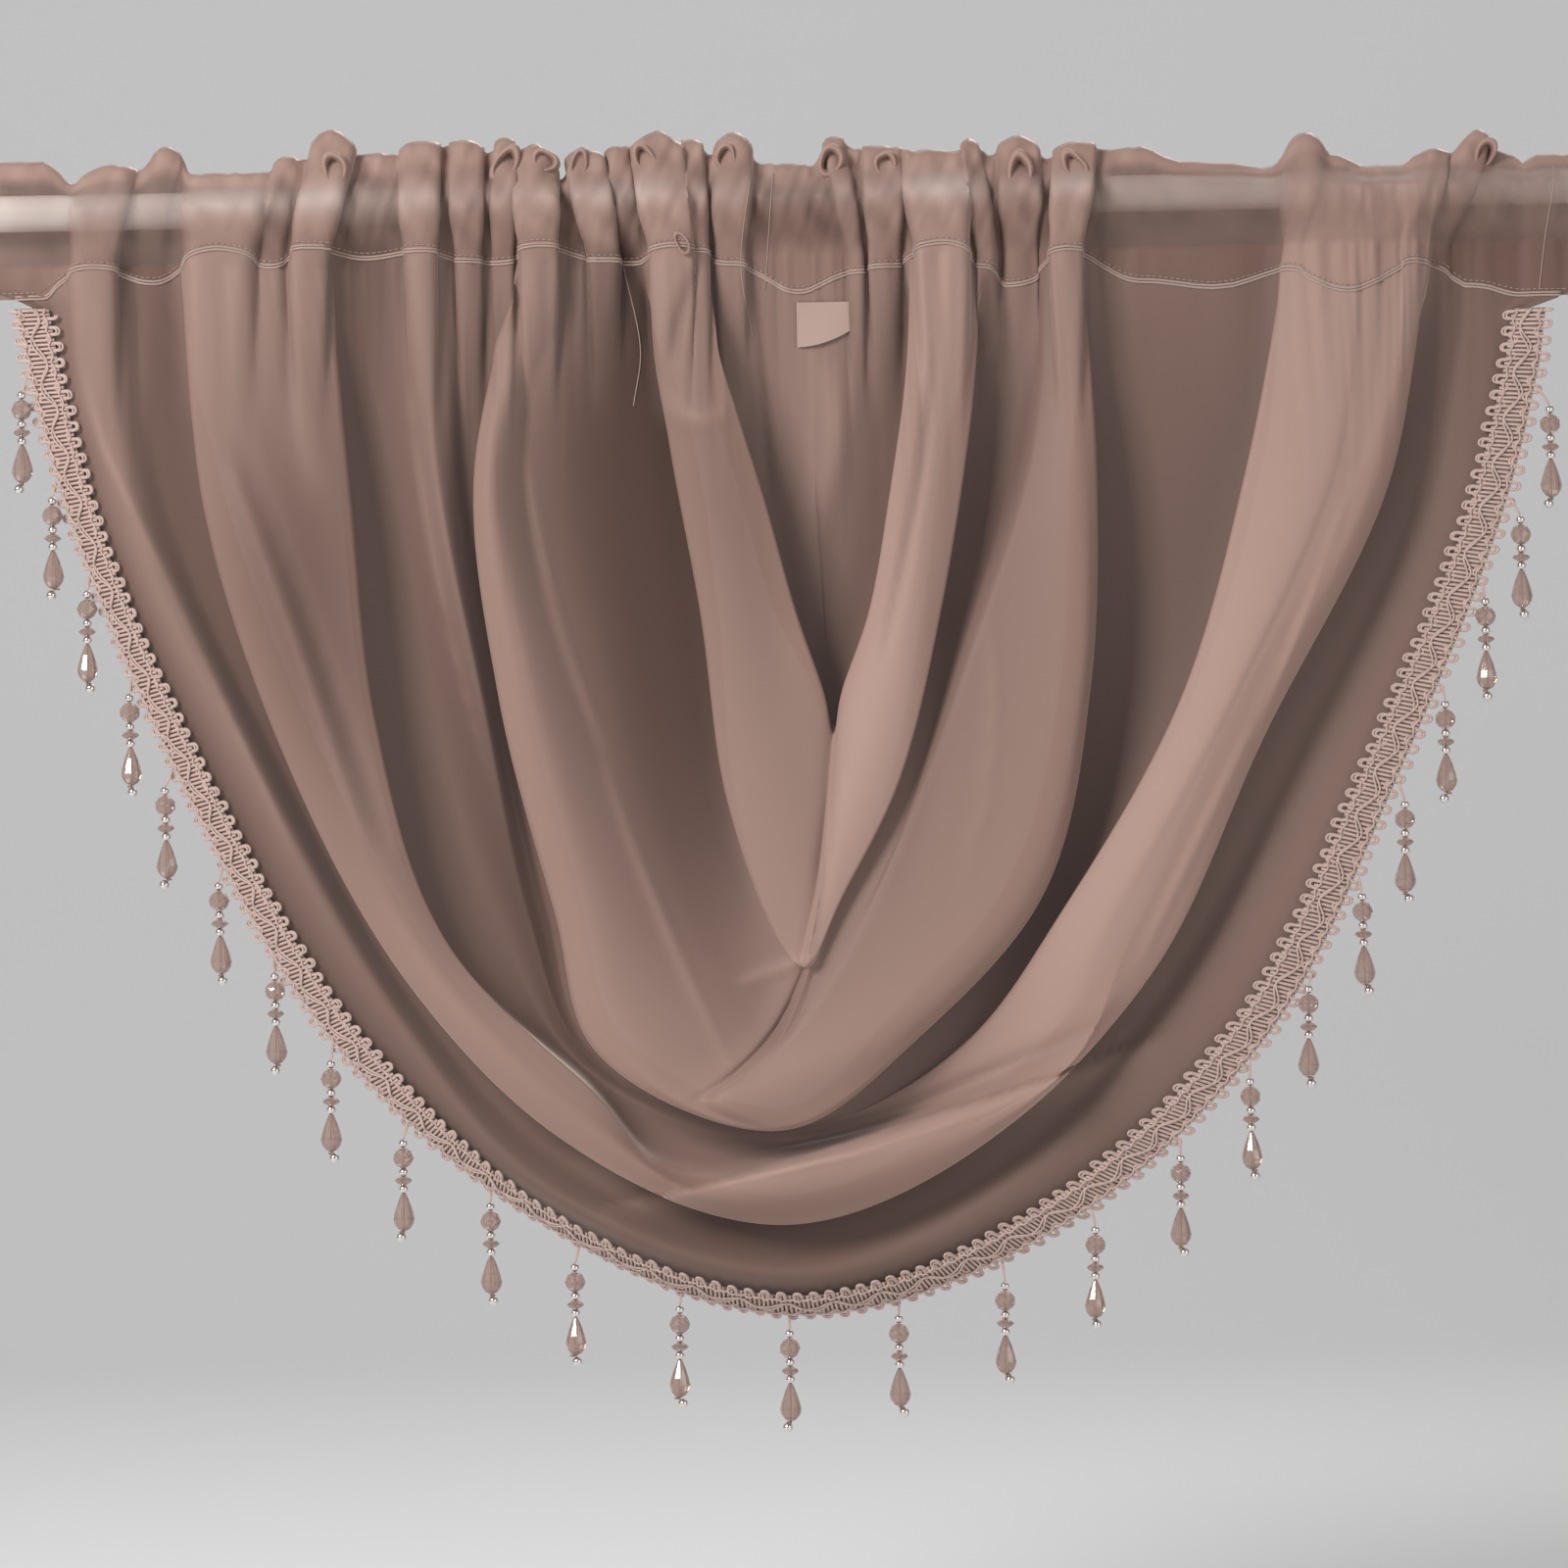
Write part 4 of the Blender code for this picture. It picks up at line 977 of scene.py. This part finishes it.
def build_binding(edge, material):
    """Wavy cords that lie along the braid over its rungs."""
    runs = np.arange(TRIM_FROM, edge.length - TRIM_FROM, BIND_STEP)
    paths = []
    for middle, swing, wave, phase, high in BIND_ROWS:
        cross = middle + swing * np.sin(2 * np.pi * runs / wave + phase)
        lift = BRAID_LIFT + high + BIND_RIPPLE * np.cos(4 * np.pi * runs / wave + phase)
        paths.append(edge.at(runs, cross, lift))
    return add_cords("braid_binding", paths, BIND_RADIUS, FINE_SIDES, material)


def build_ground(edge, material):
    """Thin closed strip of ground threads under the braid's cords, dark as painted shade between them."""
    runs = np.arange(TRIM_FROM, edge.length - TRIM_FROM, GROUND_STEP)
    sides = np.linspace(-GROUND_HALF, GROUND_HALF, GROUND_POINTS)
    ripple = GROUND_RIPPLE * np.cos(2 * np.pi * runs / GROUND_WAVE)
    strips = [edge.at(runs, np.full_like(runs, side), BRAID_LIFT + high + ripple)
              for high, order in ((GROUND_TOP, 1), (GROUND_FOOT, -1)) for side in sides[::order]]
    ring = np.arange(len(strips))
    faces = ring_faces(len(runs), len(strips))
    faces += [tuple(ring[::-1]), tuple((len(runs) - 1) * len(strips) + ring)]
    return add_mesh("braid_ground", np.stack(strips, axis=1).reshape(-1, 3), faces, material)


def bead_rings(profile, facets, twist):
    """Points and faces of a turned bead from rows of height and radius, each ring turned against the last."""
    points, faces = [], []
    for row, (up, radius) in enumerate(profile):
        for k in range(facets):
            a = 2 * np.pi * (k + twist * (row % 2)) / facets
            points.append((radius * math.cos(a), radius * math.sin(a), up))
    for row in range(len(profile) - 1):
        for k in range(facets):
            a, b = row * facets + k, row * facets + (k + 1) % facets
            c, d = b + facets, a + facets
            if twist and row % 2:
                faces += [(a, b, c), (a, c, d)]
            else:
                faces += [(a, b, d), (b, c, d)]
    faces.append(tuple(range(facets))[::-1])
    faces.append(tuple((len(profile) - 1) * facets + k for k in range(facets)))
    return points, faces


def ball(radius):
    turns = np.linspace(-0.5, 0.5, BALL_ROWS) * np.pi * BALL_CUT
    return [(radius * math.sin(a), max(radius * math.cos(a), BALL_HOLE)) for a in turns]


def beside_braid(x, end, outer):
    """The drop's x moved out as far as its widest beads need to hang clear of the braid's outer edge."""
    if end + DROP_HIGH <= outer[:, 2].min() + DROP_BESIDE:
        return x
    way = -1 if x < 0 else 1
    side = outer[:len(outer) // 2] if x < 0 else outer[len(outer) // 2:]
    for up, radius in DROP_WIDE:
        rise = side[:, 2] - end - up
        reach = side[:, 0] + way * np.sqrt(np.maximum((radius + BEAD_CLEAR)**2 - rise**2, 0))
        near = np.abs(rise) < radius + BEAD_CLEAR
        if near.any():
            x = way * max(way * x, (way * reach[near]).max())
    return x


def build_drop(number, x, end, outer, materials, dice):
    """One drop: thread, silver beads between a round bead, a disc and a pear bead, and a last silver bead."""
    x = beside_braid(x, end, outer)
    seat = outer[np.argmin(np.hypot(outer[:, 0] - x, outer[:, 2] - end - DROP_HIGH - SEAT_RISE))]
    points, faces, slots, smooth = [], [], [], []
    lean, spin = dice.uniform(-DROP_LEAN, DROP_LEAN), dice.uniform(0, math.pi)
    for kind, low, profile, facets, twist in BEADS:
        if kind == "ball":
            profile = ball(profile)
            low += profile[-1][0]
        here, there = bead_rings(profile, facets, twist)
        base = len(points)
        turn = spin + dice.uniform(0, DROP_SPIN)
        tip = dice.uniform(-END_LEAN, END_LEAN) if low < END_BELOW else 0.0
        for px, py, pz in here:
            h = low + pz
            aside = x + lean * (1 - h / DROP_HIGH) + tip
            points.append((aside + px * math.cos(turn) - py * math.sin(turn),
                           seat[1] + px * math.sin(turn) + py * math.cos(turn),
                           end + h + abs(tip) * END_RISE))
        faces += [tuple(base + v for v in f) for f in there]
        slots += [1 if kind == "ball" else 0] * len(there)
        smooth += [kind == "ball"] * len(there)
    top = end + DROP_HIGH - THREAD_TUCK
    strand = [(seat[0] * (1 - across) + x * across, seat[1] - out, seat[2] * (1 - down) + top * down + up)
              for across, down, out, up, _ in THREAD_WAY]
    twin = [(p[0] + TWIN_GAP * row[-1], p[1], p[2]) for p, row in zip(strand, THREAD_WAY)]
    axis = [(x + lean * (1 - h / DROP_HIGH), seat[1], end + h) for h in THREAD_STOPS]
    more, cords = tubes([strand, twin, axis], THREAD_RADIUS, CORD_SIDES)
    faces += [tuple(len(points) + v for v in f) for f in cords]
    slots += [2] * len(cords)
    smooth += [True] * len(cords)
    points += more.tolist()
    return add_mesh("drop_%02d" % number, points, faces, *materials, slots=slots, smooth=smooth)


def shader(name, colour, **values):
    material = bpy.data.materials.new(name)
    material.use_nodes = True
    principled = material.node_tree.nodes["Principled BSDF"]
    principled.inputs["Base Color"].default_value = (*colour, 1)
    for socket, value in values.items():
        principled.inputs[socket.replace("_", " ")].default_value = value
    return material


def voile_material():
    """Sheer cloth whose painted light and shade, cover and painted rod glow follow the values stored on its
    points.
    """
    material = shader("voile", VOILE_COLOUR, Roughness=0.62, Sheen_Weight=0.7, Sheen_Roughness=0.35,
                      Sheen_Tint=(*SHEEN_COLOUR, 1), Specular_IOR_Level=0.25)
    tree = material.node_tree
    principled = tree.nodes["Principled BSDF"]
    tone, cover, glow = (tree.nodes.new("ShaderNodeAttribute") for _ in range(3))
    tone.attribute_name, cover.attribute_name, glow.attribute_name = "fold_tone", "cover", "rod_glow"
    blend, lit = (tree.nodes.new("ShaderNodeMix") for _ in range(2))
    blend.data_type = lit.data_type = "RGBA"
    blend.clamp_factor = False
    blend.inputs["A"].default_value = (*VOILE_PAINTED_SHADE, 1)
    blend.inputs["B"].default_value = (*VOILE_COLOUR, 1)
    lit.inputs["B"].default_value = (*ROD_GLOW_PAINT, 1)
    place = tree.nodes.new("ShaderNodeTexCoord")
    noise = tree.nodes.new("ShaderNodeTexNoise")
    noise.inputs["Scale"].default_value = WEAVE_SCALE
    noise.inputs["Detail"].default_value = WEAVE_DETAIL
    bump = tree.nodes.new("ShaderNodeBump")
    bump.inputs["Strength"].default_value = WEAVE_STRENGTH
    bump.inputs["Distance"].default_value = WEAVE_DEPTH
    for start, output, end, socket in (
            (tone, "Fac", blend, "Factor"), (glow, "Fac", lit, "Factor"), (blend, "Result", lit, "A"),
            (lit, "Result", principled, "Base Color"), (cover, "Fac", principled, "Alpha"),
            (place, "Object", noise, "Vector"), (noise, "Fac", bump, "Height"),
            (bump, "Normal", principled, "Normal")):
        tree.links.new(start.outputs[output], end.inputs[socket])
    return material


voile = voile_material()
hem_cloth = shader("hem_cloth", HEM_COLOUR, Roughness=0.6, Sheen_Weight=0.4)
ground = shader("braid_ground", GROUND_SHADE_COLOUR, Roughness=0.7)
cord = shader("braid_cord", CORD_COLOUR, Roughness=0.5, Sheen_Weight=0.3)
bead = shader("bead_clear", BEAD_COLOUR, Roughness=0.06, Transmission_Weight=0.65, IOR=1.49,
              Specular_IOR_Level=0.8)
silver = shader("bead_silver", SILVER_COLOUR, Roughness=0.12, Metallic=1.0)
thread = shader("drop_thread", CORD_COLOUR, Roughness=0.6)
tape = shader("label_tape", LABEL_COLOUR, Roughness=0.7, Sheen_Weight=0.2)
paint = shader("rod_paint", ROD_COLOUR, Roughness=0.22, Coat_Weight=0.4)

rod = bpy.data.objects["curtain_rod"]
rod.data.materials.clear()
rod.data.materials.append(paint)

cloth, grid, front, seam = build_cloth(voile)
face = face_finder(cloth)
edge = Edge(grid)
hem, stitches = build_seam(front, seam, hem_cloth)
# Each piece with its slot and the solids that it stands for.
pieces = [
    (cloth, "voile", ("valance_cloth",)), (hem, "voile", ()), (stitches, "voile", ()),
    (build_sewing(face, hem_cloth), "voile", ()), (build_curls(face, voile), "voile", ()),
    (build_label(face, tape), "label", ("care_label",)),
    (build_loops(edge, cord), "braid", ("braid_trim",)), (build_rungs(edge, cord), "braid", ()),
    (build_binding(edge, cord), "braid", ()), (build_ground(edge, ground), "braid", ()),
]

stations = np.arange(0, edge.length, SEAT_STEP)
outer = edge.at(stations, np.full_like(stations, SEAT_INSET - BRAID_HALF), np.full_like(stations, BRAID_LIFT))
dice = random.Random(SEED)
for number, row in enumerate(table(DROPS, DROPS_HEAD), 1):
    drop = build_drop(number, row["x"], row["end_z"], outer, (bead, silver, thread), dice)
    pieces.append((drop, "bead_clear", ("bead_drop_%02d" % number,)))

for obj, slot, nodes in pieces:
    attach(obj, "root")
    if nodes:
        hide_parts(*nodes)


def build_studio(material):
    """Floor that curves up into a plain wall behind the object."""
    run = [(-STUDIO_REACH, FLOOR_Z)]
    for a in np.linspace(0, np.pi / 2, BEND_STEPS):
        run.append((WALL_Y - BEND + BEND * math.sin(a), FLOOR_Z + BEND * (1 - math.cos(a))))
    run.append((WALL_Y, STUDIO_REACH))
    points = [(x, y, z) for x in (-STUDIO_REACH, STUDIO_REACH) for y, z in run]
    n = len(run)
    faces = [(i, i + n, i + n + 1, i + 1) for i in range(n - 1)]
    add_mesh("studio_floor", points, faces, material)


def area_light(name, place, size, power):
    lamp = bpy.data.lights.new(name, "AREA")
    lamp.shape, lamp.size, lamp.energy = "SQUARE", size, power
    obj = bpy.data.objects.new(name, lamp)
    bpy.context.scene.collection.objects.link(obj)
    obj.location = place
    obj.rotation_euler = (Vector(LIGHT_AIM) - Vector(place)).to_track_quat("-Z", "Y").to_euler()


def add_camera():
    """Camera that looks along Y, rolled about its axis."""
    camera = bpy.data.objects.new("camera", bpy.data.cameras.new("camera"))
    bpy.context.scene.collection.objects.link(camera)
    camera.data.sensor_width = SENSOR_WIDTH
    camera.data.lens = SENSOR_WIDTH * VIEW_DISTANCE / VIEW_WIDTH
    c, s = math.cos(VIEW_ROLL), math.sin(VIEW_ROLL)
    camera.matrix_world = (Matrix.Translation((VIEW_CENTRE[0], -VIEW_DISTANCE, VIEW_CENTRE[1]))
                           @ Matrix(((c, s, 0, 0), (0, 0, -1, 0), (-s, c, 0, 0), (0, 0, 0, 1))))
    bpy.context.scene.camera = camera


build_studio(shader("studio_pale", STUDIO_COLOUR, Roughness=0.9))
for light in LIGHTS:
    area_light(*light)
add_camera()
world = bpy.data.worlds.new("studio")
bpy.context.scene.world = world
world.use_nodes = True
world.node_tree.nodes["Background"].inputs["Color"].default_value = (1, 1, 1, 1)
world.node_tree.nodes["Background"].inputs["Strength"].default_value = SKY_STRENGTH
bpy.context.scene.view_settings.view_transform = "Standard"
